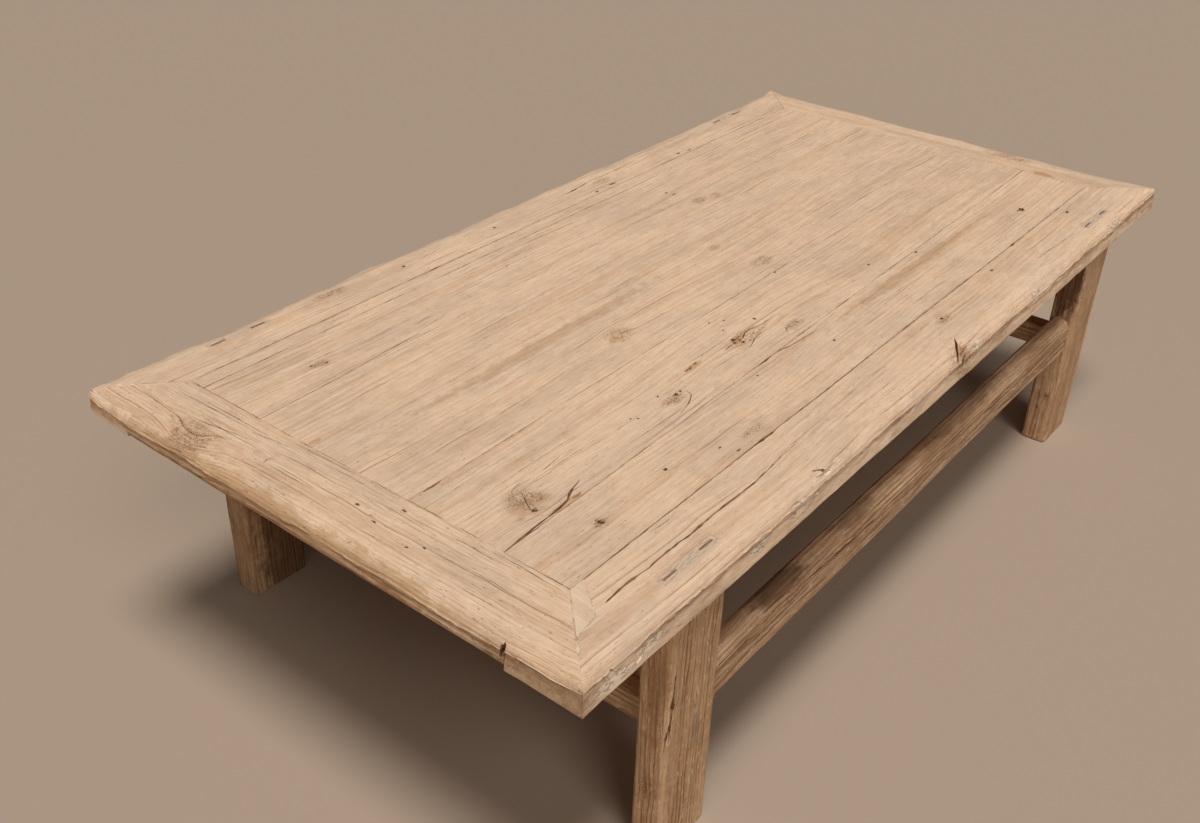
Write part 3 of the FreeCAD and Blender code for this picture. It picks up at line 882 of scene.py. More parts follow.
def long_rail(node, side_y, inner_y, legs, under_arris, wood):
    """A long rail sawn to its width, with its lips and mortises cut."""
    rail = worn_top(node + "_old", elm(node + "_elm", 0, **wood), 0, under_arris,
                    [((0, inner_y, 0), (0, -math.copysign(1, side_y), 0))])
    knives = [lip_knife(end_x, side_y, inner_x, inner_y) for end_x, inner_x in ENDS]
    knives += [mortise_knife(leg) for leg in legs]
    cut_out([rail], knives)
    return rail


FRONT_RAIL_CRACKS = in_metres([
    [(-732, -361.5, 0.4), (-725, -361, 1.6), (-700, -359, 2.6), (-682, -360, 2.4), (-665, -361, 1.8),
     (-655, -362, 2.2), (-647, -361, 1.6), (-620, -361, 2.1), (-600, -361, 2.2), (-585, -363, 2.6),
     (-570, -362.5, 3.2), (-559, -362, 2.6), (-552, -361.5, 1.7), (-510, -361, 1.9), (-450, -363, 1.8),
     (-430, -362, 1.7), (-410, -361, 1.2), (-397, -359, 1.4), (-350, -357, 0.9), (-325, -356, 0.3)],
    [(390, -373, 0.4), (440, -376, 1.1), (455, -379, 0.7), (540, -381, 0.3)],
    [(-605, -324.5, 0.5), (-590, -327.5, 0.8), (-570, -328, 0.4)],
])
FRONT_RAIL_HAIRLINES = in_metres([
    [(-480, -398, 0.3), (-430, -397, 0.8), (-360, -399, 0.3)],
    [(-250, -375, 0.3), (-200, -374, 0.7), (-130, -376, 0.3)],
    [(120, -352, 0.3), (190, -353, 0.7), (260, -351, 0.3)],
    [(300, -398, 0.3), (350, -399, 0.7), (420, -397, 0.3)],
])
FRONT_RAIL_PITS = in_metres([
    ((90, -347), (12, 6)), ((297, -335), (12, 4)), ((610, -338), (13, 7)), ((627, -412), (14, 6)),
    ((795, -410), (12, 7)),
])
EDGE_CHIPS = in_metres([
    ((-745, -421.5, 406), (180, 12, 26)), ((-520, -419, 411), (60, 12, 22)),
    ((-362, -411, 429), (200, 72, 20)), ((-388, -418, 418), (50, 20, 24)),
    ((-445, -419, 412), (70, 12, 20)), ((285, -419, 414), (60, 14, 22)),
    ((700, -418, 414), (50, 14, 20)), ((780, -421, 408), (60, 14, 26)),
])
FORK_LIMBS = in_metres([
    [(46, -388, 0.4), (38, -394, 2), (26, -401, 3.6), (15, -408, 4.8), (5, -415.5, 4.6), (-4, -422.5, 2.6)],
    [(-4, -422.5, 2.4), (8, -420, 3.4), (22, -416.5, 3), (36, -413, 0.8)],
])
FORK_DEPTH_SHARES = (6, 9)
CHECK_LEAN = 0.03
PIT_DEPTH = 0.018
PIT_SHARE = 1.6
PIT_ROUGHNESS_SHARE = 0.55
CRACK_DEPTH_SHARE = 2.0
HAIRLINE_DEPTH_SHARE = 2.0
CHECK_END_WIDTH = 0.0003
EDGE_CHIP_SEED = 0.7
PIT_SEEDS = (0, 9)
CHANCE_SEED = 11
chance = random.Random(CHANCE_SEED)


def cracks(lines, depth_share, wall, place=TOP_PLACE):
    """The blades of a list of cracks in one face."""
    return [blade(line, depth_share, place, chance, wall) for line in lines]


def fine_check(low, high, lengths, widths, along):
    """One short fine check along the grain, somewhere between two corners."""
    middle = Vector([chance.uniform(*ends) for ends in zip(low, high)])
    reach = Vector((0, 0))
    reach[along] = chance.uniform(*lengths) / 2
    reach[1 - along] = reach[along] * chance.uniform(-CHECK_LEAN, CHECK_LEAN)
    start, end = middle - reach, middle + reach
    return [(*start, CHECK_END_WIDTH), (*middle, chance.uniform(*widths)), (*end, CHECK_END_WIDTH)]


def pits(marks, wall):
    """The knives of a list of small pits in the face of the top."""
    return [gouge((*middle, TOP_HEIGHT), (length * PIT_SHARE, width * PIT_SHARE, PIT_DEPTH),
                  chance.uniform(*PIT_SEEDS), wall, PIT_ROUGHNESS_SHARE)
            for middle, (length, width) in marks]


FRONT_RAIL_WOOD = {
    "pith": (-0.60, 0.25),
    "seed": 2,
    "knots": in_metres([((90, -350), (22, 9), 10), ((20, -412), (30, 16), 16)]),
    "stains": stain_and_shade_marks([
        ((-360, -416), (45, 12), RUBBED, 0.35),
        ((24, -410), (14, 8), KNOT_ORANGE, 0.35),
        ((-612, -387), (75, 16), GREYED, 0.7)]),
    "crusts": in_metres([
        ((-790, -425, 408), (35, 20, 9)), ((-725, -425, 411), (30, 20, 8)),
        ((-520, -422, 414), (18, 20, 10)), ((-430, -425, 420), (22, 20, 6)),
        ((60, -420, 428), (22, 12, 8)), ((290, -420, 426), (30, 12, 8)), ((640, -420, 426), (50, 12, 8))]),
}
front_rail = long_rail("front_rail", *LONG_SIDES[0], ("front_left_leg", "front_right_leg"),
                       FRONT_UNDER_RADIUS, FRONT_RAIL_WOOD)
cut_out([front_rail], cracks(FRONT_RAIL_CRACKS, CRACK_DEPTH_SHARE, CRACK_WALL)
        + cracks(FRONT_RAIL_HAIRLINES, HAIRLINE_DEPTH_SHARE, HAIRLINE_WALL))
cut_out([front_rail], pits(FRONT_RAIL_PITS, PIT_WALL))
cut_out([front_rail], [gouge(centre, size, EDGE_CHIP_SEED + index, TORN_WOOD)
                       for index, (centre, size) in enumerate(EDGE_CHIPS)])
for limb, depth_share in zip(FORK_LIMBS, FORK_DEPTH_SHARES):
    cut_out([front_rail], cracks([limb], depth_share, CRACK_WALL))

# The rear rail
# The long rail on the far side, a little narrower than the front one and worked in the same way.
# The strip of the panel lies along it, and the rear legs come up through it.
REAR_RAIL_CRACKS = in_metres([
    [(70, 370, 0.6), (100, 370, 2.2), (130, 373, 2), (160, 376, 1), (200, 374, 0.8), (250, 376, 0.9),
     (300, 379, 0.3)],
    [(-280, 370, 0.3), (-250, 372, 1), (-220, 375, 0.3)],
    [(-60, 375, 0.3), (-38, 375, 1.1), (-15, 375, 0.3)],
    [(573, 391, 1.6), (620, 392.5, 3), (678, 390, 1.4)],
])
REAR_RAIL_PITS = in_metres([
    ((-313, 370), (12, 7)), ((-110, 365), (10, 6)), ((127, 336), (12, 6)), ((175, 338), (30, 6)),
    ((380, 338), (12, 6)), ((410, 334), (16, 5)), ((175, 419), (14, 7)), ((585, 417), (28, 10)),
])
REAR_RAIL_WOOD = {
    "pith": (0.60, 0.26),
    "seed": 5,
    "knots": in_metres([((170, 360), (30, 12), 10), ((-450, 385), (30, 10), 8)]),
    "stains": stain_and_shade_marks([((-612, 392), (70, 14), GREYED, 0.8)]),
}
rear_rail = long_rail("rear_rail", *LONG_SIDES[1], ("rear_left_leg", "rear_right_leg"),
                      UNDER_ARRIS_RADIUS, REAR_RAIL_WOOD)
cut_out([rear_rail], cracks(REAR_RAIL_CRACKS, CRACK_DEPTH_SHARE, CRACK_WALL))
cut_out([rear_rail], pits(REAR_RAIL_PITS, PIT_WALL))

# The end rails
# The short rails at the two ends. Each fits between the long rails and laps over them with a
# thin mitred lip. The left one still has the rounded wane of the log along its lower outer arris.
WANE_RADIUS = 0.017
RIGHT_UNDER_RADIUS = 0.004
LEFT_RAIL_CRACKS = in_metres([
    [(-795, 345, 0.3), (-798, 310, 1), (-801, 264, 0.3)],
    [(-791, 255, 0.3), (-787, 225, 1.2), (-781, 190, 1), (-776, 160, 0.3)],
    [(-797, 107, 0.7), (-790, 109, 1), (-783, 106, 0.7)],
    [(-764, 170, 0.3), (-759, 140, 1), (-756, 110, 0.3)],
    [(-795, 100, 0.3), (-796, 60, 0.8), (-794, 25, 0.3)],
    [(-772, 118, 0.3), (-769, 60, 0.8), (-771, 0, 0.3)],
    [(-766, -10, 0.3), (-763, -70, 0.8), (-765, -150, 0.3)],
    [(-756, -150, 0.3), (-754, -190, 1), (-755, -235, 0.3)],
    [(-746, -190, 0.3), (-744, -255, 1), (-746, -318, 0.3)],
    [(-752, 70, 0.3), (-750, 10, 0.8), (-751, -50, 0.3)],
    [(-812, -60, 0.3), (-809, -110, 0.8), (-811, -160, 0.3)],
    [(-784, -200, 0.3), (-782, -250, 0.8), (-785, -310, 0.3)],
])
LEFT_RAIL_PITS = in_metres([
    ((-781, -40), (5, 8)), ((-791, -78), (4, 8)), ((-755, -90), (4, 10)), ((-800, -139), (4, 7)),
    ((-788, -155), (4, 7)), ((-837, -160), (5, 9)),
])
RIGHT_RAIL_PITS = in_metres([
    ((757, -234), (12, 9)), ((800, 120), (5, 10)),
])
LEFT_RAIL_WOOD = {
    "pith": (-1.02, 0.25),
    "seed": 8,
    "ring_gap": 0.0048,
    "ring_share": 1,
    "grain_share": 1.35,
    "skin": (0.62, 0.395, 0.222, 1),
    "skin_dark": (0.37, 0.212, 0.106, 1),
    "knots": in_metres([((226, -812), (50, 26), 60)]),
    "stains": stain_and_shade_marks([
        ((226, -822), (30, 18), GREYED, 0.4),
        ((60, -842, 416), (400, 26, 20), (0.58, 0.365, 0.20, 1), 0.85),
        ((0, -842, 398), (460, 30, 12), (0.40, 0.215, 0.10, 1), 0.75)]),
}
RIGHT_RAIL_WOOD = {
    "pith": (1.03, 0.26),
    "seed": 11,
    "knots": in_metres([((-150, 800), (50, 20), 10)]),
    "stains": stain_and_shade_marks([((-234, 757), (20, 12), KNOT_ORANGE, 0.5)]),
}
LEFT_RAIL_DEPTH_SHARE = 2.5
FINE_DEPTH_SHARE = 2.2
LEFT_RAIL_BATCHES = 4
# Where the fine checks lie, from corner to corner, with their least and greatest length and width
LEFT_RAIL_FIELDS = in_metres([
    ((-770, -300), (-742, 300), (50, 160), (0.7, 1.2)),
    ((-800, -150), (-775, 300), (40, 120), (0.5, 1)),
])


def end_rail(node, end_x, inner_x, under_arris, wood):
    """An end rail sawn to its mitres, with the wood under its two lips cut away."""
    cuts = [((inner_x, 0, 0), (-math.copysign(1, end_x), 0, 0))]
    for side_y, inner_y in LONG_SIDES:
        cuts.append(((inner_x, inner_y, 0), mitre_normal(end_x, side_y, inner_x, inner_y)))
    rail = worn_top(node + "_old", elm(node + "_elm", 1, **wood), 1, under_arris, cuts)
    past_x = end_x + math.copysign(OVERRUN, end_x)
    past_inner = inner_x - math.copysign(OVERRUN, end_x)
    knives = []
    for side_y, inner_y in LONG_SIDES:
        past_y = side_y + math.copysign(OVERRUN, side_y)
        knife = sawn_block("under_lip", (past_x, past_y, 0), (past_inner, inner_y, lip_underside))
        knife.data.materials.append(SEAM_WALL)
        knives.append(knife)
    cut_out([rail], knives)
    return rail


left_rail = end_rail("left_rail", *ENDS[0], WANE_RADIUS, LEFT_RAIL_WOOD)
cut_out([left_rail], cracks(LEFT_RAIL_CRACKS, LEFT_RAIL_DEPTH_SHARE, HAIRLINE_WALL))
for batch in range(LEFT_RAIL_BATCHES):
    checks = [fine_check(*field, along=1) for field in LEFT_RAIL_FIELDS]
    cut_out([left_rail], cracks(checks, FINE_DEPTH_SHARE, HAIRLINE_WALL))
cut_out([left_rail], pits(LEFT_RAIL_PITS, PIT_WALL))
right_rail = end_rail("right_rail", *ENDS[1], RIGHT_UNDER_RADIUS, RIGHT_RAIL_WOOD)
cut_out([right_rail], pits(RIGHT_RAIL_PITS, PIT_WALL))

# The patch in the front left mitre
# A thin pale wedge, let into the top of the front rail beside the mitre to fill a gap.
# It is glued in its pocket and sanded flush with the rails.
patch_low, patch_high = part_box("corner_patch")
PATCH_SIDE = Vector((-0.716, opening_front, 0))
PATCH_POINT = Vector((-0.753, -0.366, 0))
PATCH_END_SHARE = 0.5
MITRE_FOOT = Vector((opening_left, opening_front, 0))
PATCH_END = MITRE_FOOT.lerp(cad_bounds[0] * Vector((1, 1, 0)), PATCH_END_SHARE)
PATCH_WOOD = {
    "pith": (-0.74, 0.36),
    "seed": 13,
    "ring_share": 0.3,
    "sanded": (0.82, 0.61, 0.43, 1),
    "skin": (0.78, 0.575, 0.40, 1),
    "grain_share": 0.6,
}


def patch_block(name, grown):
    """The wedge, or its pocket where it is grown by a seam."""
    outline = (MITRE_FOOT, PATCH_END, PATCH_POINT, PATCH_SIDE)
    top = patch_high.z + (OVERRUN if grown else 0)
    block = sawn_block(name, (PATCH_END.x - OVERRUN, PATCH_END.y - OVERRUN, patch_low.z - grown),
                       (PATCH_SIDE.x + OVERRUN, opening_front + grown, top))
    for start, end in zip(outline, outline[1:]):
        outwards = (end - start).cross(UP).normalized()
        saw_off(block, start + outwards * grown, outwards)
    return block


pocket = patch_block("pocket", SEAM)
pocket.data.materials.append(MITRE_FILLING)
cut_out([front_rail], [pocket])
corner_patch = patch_block("corner_patch_worn", 0)
score(corner_patch, 0, SCORE_LONG)
score(corner_patch, 1, SCORE_LONG)
wear(corner_patch, *FACE_WEAR, lambda point: float(near(point.z, TOP_HEIGHT)), "Z")
corner_patch.data.materials.append(elm("corner_patch_elm", 1, **PATCH_WOOD))

# The panel
# Four tapered boards, as wide at each end as the log gave them, and a narrow strip at the back.
# They slide together with tongues and grooves, and lie flush with the rails round them.
STRIP_WIDTH = 0.026
JOINT_SHARES = [(0.0, 0.0), (0.151, 0.195), (0.389, 0.397), (0.814, 0.849), (1.0, 1.0)]
panel_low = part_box("broad_board")[0]
strip_front = opening_rear - STRIP_WIDTH
BOARD_WOODS = {
    "front_board": {
        "pith": (-0.55, 0.30),
        "seed": 21,
        "knots": in_metres([((-628, -272), (14, 8), 10), ((-355, -300), (30, 8), 6)]),
        "stains": stain_and_shade_marks([
            ((220, -235), (280, 10), TAN, 0.5),
            ((-400, -295), (100, 25), GREYED, 0.7)]),
    },
    "middle_board": {
        "pith": (-0.43, 0.29),
        "seed": 23,
        "knots": in_metres([((-650, -178), (26, 22), 26), ((-355, -180), (26, 13), 22),
                            ((-150, -160), (50, 18), 22), ((-70, -192), (24, 10), 14)]),
        "stains": stain_and_shade_marks([
            ((-165, -154), (14, 10), KNOT_ORANGE, 0.4),
            ((-265, -149), (22, 5), TAN, 0.7),
            ((-625, -222), (30, 8), KNOT_ORANGE, 0.4),
            ((-655, -190), (35, 20), TAN, 0.6)]),
    },
    "broad_board": {
        "pith": (0.36, 0.22),
        "seed": 25,
        "knots": in_metres([((-265, -20), (30, 20), 26), ((217, 178), (20, 12), 18),
                            ((255, 168), (20, 10), 14), ((70, 46), (16, 9), 12), ((80, -40), (30, 14), 22)]),
        "stains": stain_and_shade_marks([
            ((-350, 48), (280, 12), TAN, 0.6),
            ((-728, 96), (10, 5), KNOT_ORANGE, 0.4),
            ((-620, -20), (100, 30), GREYED, 0.6)]),
    },
    "rear_board": {
        "pith": (0.55, 0.27),
        "seed": 27,
        "knots": in_metres([((-600, 236), (18, 9), 12)]),
        "stains": stain_and_shade_marks([((-450, 225), (150, 20), GREYED, 0.6)]),
    },
}
STRIP_WOOD = {"pith": (0.56, 0.30), "seed": 29}


def joint_ends(shares):
    """Where a joint between boards meets the left and the right end rail."""
    width = strip_front - opening_front
    return (Vector((opening_left, opening_front + width * shares[0], 0)),
            Vector((opening_right, opening_front + width * shares[1], 0)))


def panel_board(node, front_joint, rear_joint, wood):
    """One board sawn between its two joints and the end rails."""
    front_left, front_right = front_joint
    rear_left, rear_right = rear_joint
    return worn_top(node + "_worn", elm(node + "_elm", 0, **wood), 0, UNDER_ARRIS_RADIUS, [
        (front_left, (front_right - front_left).cross(UP).normalized()),
        (rear_left, -(rear_right - rear_left).cross(UP).normalized()),
        (front_left, (-1, 0, 0)),
        (front_right, (1, 0, 0)),
        (panel_low, (0, 0, -1))])


joints = [joint_ends(shares) for shares in JOINT_SHARES]
boards = [panel_board(node, front_joint, rear_joint, wood)
          for (node, wood), front_joint, rear_joint in zip(BOARD_WOODS.items(), joints, joints[1:])]
front_board, rear_board = boards[0], boards[-1]
strip_rear = (Vector((opening_left, opening_rear, 0)), Vector((opening_right, opening_rear, 0)))
rear_strip = panel_board("rear_strip", joints[-1], strip_rear, STRIP_WOOD)

PANEL_CRACKS = in_metres([
    [(-725, 184.5, 0.3), (-668, 187, 0.6), (-650, 187.2, 2.2), (-640, 188, 0.8), (-632, 189, 1.6),
     (-608, 190, 0.6), (-545, 193, 1.2), (-500, 195, 1.2), (-450, 197.5, 0.6)],
    [(-715, -79.5, 1.6), (-700, -79.5, 4), (-686, -79, 1.2)],
    [(-600, -77.5, 0.8), (-560, -77, 1.2), (-504, -76.8, 1.4), (-495, -76.7, 0.4)],
    [(122, -54, 0.4), (130, -50, 2.2), (150, -46, 2.6), (175, -43, 1.8), (200, -40, 2.6),
     (225, -37, 2), (252, -34.5, 1.1), (275, -35.5, 2.4), (300, -34, 2.2), (350, -32, 2.4),
     (400, -36, 1.3), (420, -40.5, 2), (465, -42, 1.8), (480, -50, 1), (500, -51, 2),
     (560, -50.5, 2.2), (600, -55.5, 1.4), (650, -54.5, 0.4)],
    [(-736, -225.5, 1), (-700, -223, 2), (-668, -221.5, 1.8), (-650, -221, 3.2), (-636, -219.5, 3.6),
     (-618, -216.5, 2.4), (-608, -211, 2.8), (-595, -206, 2), (-578, -202, 0.5)],
    [(-212, -217.5, 0.4), (-190, -216.5, 2), (-168, -215.5, 0.8), (-150, -216.5, 1.8),
     (-122, -221.5, 1), (-100, -223, 2), (-60, -225, 0.4)],
    [(-592, -156.5, 0.3), (-575, -154, 1.2), (-556, -152, 0.3)],
    [(-204, -158, 0.6), (-190, -156.5, 2.2), (-178, -156, 1.2)],
    [(-158, -158, 1.2), (-147, -153, 2.2), (-135, -150, 1.8), (-118, -152, 1), (-100, -156, 1.4),
     (-64, -153, 0.3)],
    [(-186, -177, 0.4), (-168, -178, 1.6), (-145, -171, 1), (-110, -166, 0.3)],
    [(-98, -196, 0.4), (-88, -188, 2), (-75, -192, 0.5)],
    [(-328, -180, 0.6), (-331, -190, 1.3), (-345, -197.5, 1.3), (-360, -203, 0.9), (-380, -207, 0.3)],
    [(-642, -165.5, 0.8), (-652, -182, 1.6), (-661, -197, 1.8)],
    [(-627, -152.5, 0.3), (-640, -153.5, 1), (-650, -158, 1), (-656, -167, 0.3)],
    [(680, 77, 0.3), (705, 79, 1.2), (725, 80, 1.2), (744, 86, 0.3)],
    [(300, 195, 0.3), (340, 196, 0.8), (380, 198, 0.3)],
    [(-628, -265.5, 1), (-605, -267, 0.3)],
])
PANEL_HAIRLINES = in_metres([
    [(-440, 220, 0.3), (-415, 222, 0.9), (-390, 224, 0.3)],
    [(-590, 173, 0.3), (-570, 174, 0.9), (-545, 176, 0.3)],
    [(-450, 202, 0.3), (-415, 206, 0.9), (-380, 210, 0.3)],
    [(0, -75, 0.3), (30, -72, 0.8), (60, -66, 0.8), (100, -57, 0.3)],
    [(-280, -140, 0.3), (-220, -141, 0.7), (-150, -139, 0.3)],
    [(-480, -248, 0.3), (-462, -248.5, 0.8), (-445, -249, 0.3)],
    [(683, -198, 0.4), (745, -198, 0.8)],
    [(-690, 105, 0.3), (-620, 120, 0.7), (-560, 135, 0.7), (-430, 143, 0.3)],
    [(200, 130, 0.3), (250, 152, 0.8), (300, 170, 0.3)],
    [(-480, 30, 0.3), (-350, 33, 0.8), (-230, 30, 0.3)],
    [(-700, -138, 0.3), (-600, -136, 0.8), (-500, -137, 0.3)],
    [(350, 80, 0.3), (450, 83, 0.8), (560, 81, 0.3)],
    [(300, -120, 0.3), (400, -118, 0.7), (520, -121, 0.3)],
    [(30, -262, 0.3), (150, -260, 0.7), (260, -262, 0.3)],
    [(-230, 110, 0.3), (-120, 112, 0.8), (20, 109, 0.3)],
    [(-300, 250, 0.3), (-180, 252, 0.7), (-40, 250, 0.3)],
])
SEAM_CRACKS = in_metres([
    [(-722, -320.5, 1), (-600, -320.3, 1.2), (-450, -320.3, 1), (-385, -320.8, 1.1), (-372, -321, 3.4),
     (-350, -321.2, 3.6), (-330, -321, 1), (-230, -320.5, 1), (-142, -320.3, 1.8), (-128, -320.3, 1),
     (-10, -320.3, 1), (48, -320.3, 1.8), (62, -320.3, 1.1), (200, -320.3, 1.1), (245, -320.3, 2),
     (255, -320.3, 1.2), (395, -320.3, 1.2), (412, -320.3, 3), (430, -320.3, 1.3), (600, -320, 1.3),
     (740, -319, 1)],
    [(-730, 328, 0.6), (-690, 328, 1.4), (-640, 328, 0.8), (-545, 328, 1.2), (-430, 328, 1),
     (-380, 328, 0.6), (-330, 328, 1.2), (-300, 328, 1.4), (-285, 328, 2.6), (-265, 328, 1.4),
     (-200, 328, 1), (-130, 328, 1.2), (-70, 328, 0.4)],
    [(628, 327.5, 0.4), (655, 327.5, 1.2), (680, 327.5, 0.4)],
    [(12, 302.5, 0.3), (60, 302.2, 1.1), (100, 302.2, 0.4)],
    [(355, 302.2, 0.4), (378, 302.2, 1.3), (400, 302.2, 0.4)],
    [(-512, 316, 0.4), (-490, 315.5, 1), (-468, 316, 0.3)],
])
PANEL_PITS = in_metres([
    ((-659, -201.5), (11, 12)), ((-627, -271.5), (11, 13)), ((-494, -266), (9, 8)),
    ((-345, -175), (12, 8)), ((-334, -174.5), (6, 5)), ((-170, -150), (12, 10)),
    ((-165, -164), (10, 7)), ((-95, -138), (7, 9)), ((-15, -50), (10, 6)), ((58, -78), (8, 5)),
    ((70, 42), (9, 6)), ((60, 122), (8, 5)), ((183, -176), (9, 5)), ((278, -212), (11, 6)),
    ((566, -272), (24, 15)), ((654, -69), (20, 8)), ((-425, -173), (5, 4)), ((-432, -166), (5, 4)),
    ((-365, -160), (6, 4)), ((-155, -123), (6, 4)), ((-150, -95), (6, 4)), ((-130, -107), (7, 4)),
    ((-75, -260), (9, 5)), ((-232, -230), (6, 4)), ((-412, -290), (8, 4)), ((-402, -311), (11, 4)),
    ((-610, 240), (7, 5)), ((-590, 232), (7, 5)), ((-38, 15), (8, 5)), ((205, 240), (10, 5)),
    ((210, 226.5), (16, 4)), ((217, 178), (12, 8)), ((-250, 5), (6, 4)), ((-255, -8), (5, 4)),
    ((-275, -22), (6, 4)), ((-283, -47), (6, 4)), ((-270, -42), (6, 4)), ((-262, -28), (7, 4)),
    ((-244, -16), (5, 3)),
])
ORANGE_CHIPS = in_metres([
    ((-278, -149.5), (26, 7)), ((-262, -147), (14, 5)), ((-176, -156), (12, 10)),
    ((-164, -157), (9, 7)), ((-729.5, 96), (13, 7)), ((-604, -219.5), (20, 6)),
])
PANEL_FIELDS = in_metres([
    ((-650, -300), (-100, -20), (40, 140), (0.5, 1)),
    ((0, -300), (650, 280), (50, 160), (0.6, 1)),
    ((-650, 0), (-80, 280), (50, 160), (0.6, 1)),
])
PANEL_BATCHES = 6
# Each kind of joint line: its least and greatest width, its depth share and what its walls show
PANEL_LINE = ((0.0005, 0.0017), 1.2, SEAM_WALL)
MITRE_LINE = ((0.0012, 0.0028), 0.6, MITRE_FILLING)
PATCH_LINE = ((0.0006, 0.0020), 0.6, MITRE_FILLING)
MITRE_LINE_SHARE = 0.93
LINE_STEPS = 40
NOTCH_PLACE = (cad_bounds[0].x + 0.004, -0.3170, 0.4180)
NOTCH_SIZE = (0.034, 0.013, 0.034)
NOTCH_SEED = 5.2
NOTCH_ROUGHNESS_SHARE = 0.35


def joint_line(start, end, widths):
    """A shallow groove along a joint, as uneven as worn arrises leave it."""
    dots = [start.lerp(end, step / LINE_STEPS) for step in range(LINE_STEPS + 1)]
    return [(dot.x, dot.y, chance.uniform(*widths)) for dot in dots]


def frame_corner(end_x, side_y, inner_x, inner_y):
    """The outer and the inner end of a mitre, a little short of the rounded corner."""
    outer = Vector((end_x, side_y, 0))
    inner = Vector((inner_x, inner_y, 0))
    return inner.lerp(outer, MITRE_LINE_SHARE), inner


cut_out(boards, cracks(PANEL_CRACKS, CRACK_DEPTH_SHARE, CRACK_WALL))
cut_out(boards, cracks(PANEL_HAIRLINES, HAIRLINE_DEPTH_SHARE, HAIRLINE_WALL))
for batch in range(PANEL_BATCHES):
    checks = [fine_check(*field, along=0) for field in PANEL_FIELDS]
    cut_out(boards, cracks(checks, HAIRLINE_DEPTH_SHARE, HAIRLINE_WALL))
cut_out(boards, pits(PANEL_PITS, PIT_WALL))
cut_out(boards, pits(ORANGE_CHIPS, ORANGE_WALL))
cut_out([front_rail, front_board, rear_board, rear_strip, rear_rail],
        cracks(SEAM_CRACKS, CRACK_DEPTH_SHARE, CRACK_WALL))
corners = [frame_corner(end_x, side_y, inner_x, inner_y)
           for end_x, inner_x in ENDS for side_y, inner_y in LONG_SIDES]
long_lines = [(Vector((opening_left, y, 0)), Vector((opening_right, y, 0)))
              for y in (opening_front, strip_front, opening_rear)]
end_lines = [(Vector((x, opening_front, 0)), Vector((x, opening_rear, 0)))
             for x in (opening_left, opening_right)]
# Each group of pieces with the joint lines that are cut into it
JOINT_LINES = [
    ([*boards, rear_strip], joints[1:-1], PANEL_LINE),
    ([rear_strip, rear_board, front_board, front_rail, rear_rail], long_lines, PANEL_LINE),
    ([left_rail, right_rail, rear_strip, *boards], end_lines, PANEL_LINE),
    ([front_rail, rear_rail, left_rail, right_rail], corners, MITRE_LINE),
    ([front_rail, corner_patch], [(PATCH_POINT, PATCH_SIDE)], PATCH_LINE),
    ([front_rail, corner_patch], [(PATCH_END, PATCH_POINT)], PATCH_LINE),
]
for pieces, lines, (widths, depth_share, wall) in JOINT_LINES:
    cut_out(pieces, cracks([joint_line(start, end, widths) for start, end in lines], depth_share, wall))
notch = gouge(NOTCH_PLACE, NOTCH_SIZE, NOTCH_SEED, CRACK_WALL, NOTCH_ROUGHNESS_SHARE)
cut_out([front_rail, left_rail], [notch])
top_pieces = {
    "front_rail": front_rail,
    "rear_rail": rear_rail,
    "left_rail": left_rail,
    "right_rail": right_rail,
    "corner_patch": corner_patch,
    "rear_strip": rear_strip,
    **dict(zip(BOARD_WOODS, boards)),
}
for node, piece in top_pieces.items():
    finish_piece(piece, node)

# The battens and the pegs
# Three battens slide across the underside of the panel in dovetailed grooves and keep it flat.
# Four pegs, driven up from below, hold the tenons of the end rails. Both stay unsanded.
HIDDEN_WOOD = {"pith": (0.05, 0.30), "seed": 33, "sanded": (0.36, 0.24, 0.145, 1), "ring_share": 0.6}
hidden_elm = elm("hidden_elm", 1, **HIDDEN_WOOD)


def paint(node, finish):
    """Gives one finish to a piece that keeps its plain shape."""
    materials = frame["nodes"][node].data.materials
    for index in range(len(materials)):
        materials[index] = finish


for node in ("left_batten", "centre_batten", "right_batten", "corner_pegs"):
    paint(node, hidden_elm)

# The legs
# Four slabs of elm, left with their open grain. The head of each is cut down to a long thin tenon
# that comes up through the rail and shows on the top as a greyed strip of end grain.
LEG_CORNER_RADIUS = 0.010
LEG_CORNER_STEPS = 5
FOOT_ARRIS_RADIUS = 0.002
FOOT_ARRIS_STEPS = 2
LEG_SCORE = 0.0026
LEG_SCORE_LONG = 0.007
LEG_SEEDS = {"front_left_leg": 2.3, "front_right_leg": 5.1, "rear_left_leg": 7.7, "rear_right_leg": 9.2}
LEG_GRAIN = {
    "sanded": (0.64, 0.42, 0.26, 1),
    "skin": (0.70, 0.445, 0.25, 1),
    "skin_dark": (0.56, 0.335, 0.178, 1),
    "ring_gap": 0.0056,
    "ring_share": 1,
    "line_power": 2.6,
    "grain_share": 1.4,
}
LEG_PITH_STEP = 0.10
LEG_SEED_STEP = 7
TENON_SINK = 0.0006
# Each wear of a leg: how deep, the size of its hollows and its step from the leg's seed
LEG_WEARS = [
    (0.0022, (0.02, 0.02, 0.12), 0),
    (0.0015, (0.0045, 0.0045, 0.10), 4),
]
LEG_KNOTS = {
    "front_left_leg": in_metres([((115, -669, -388), (24, 14, 12), 16)]),
    "front_right_leg": in_metres([((100, 565, -362), (10, 10, 8), 10), ((97, 565, -392), (10, 10, 8), 10)]),
}
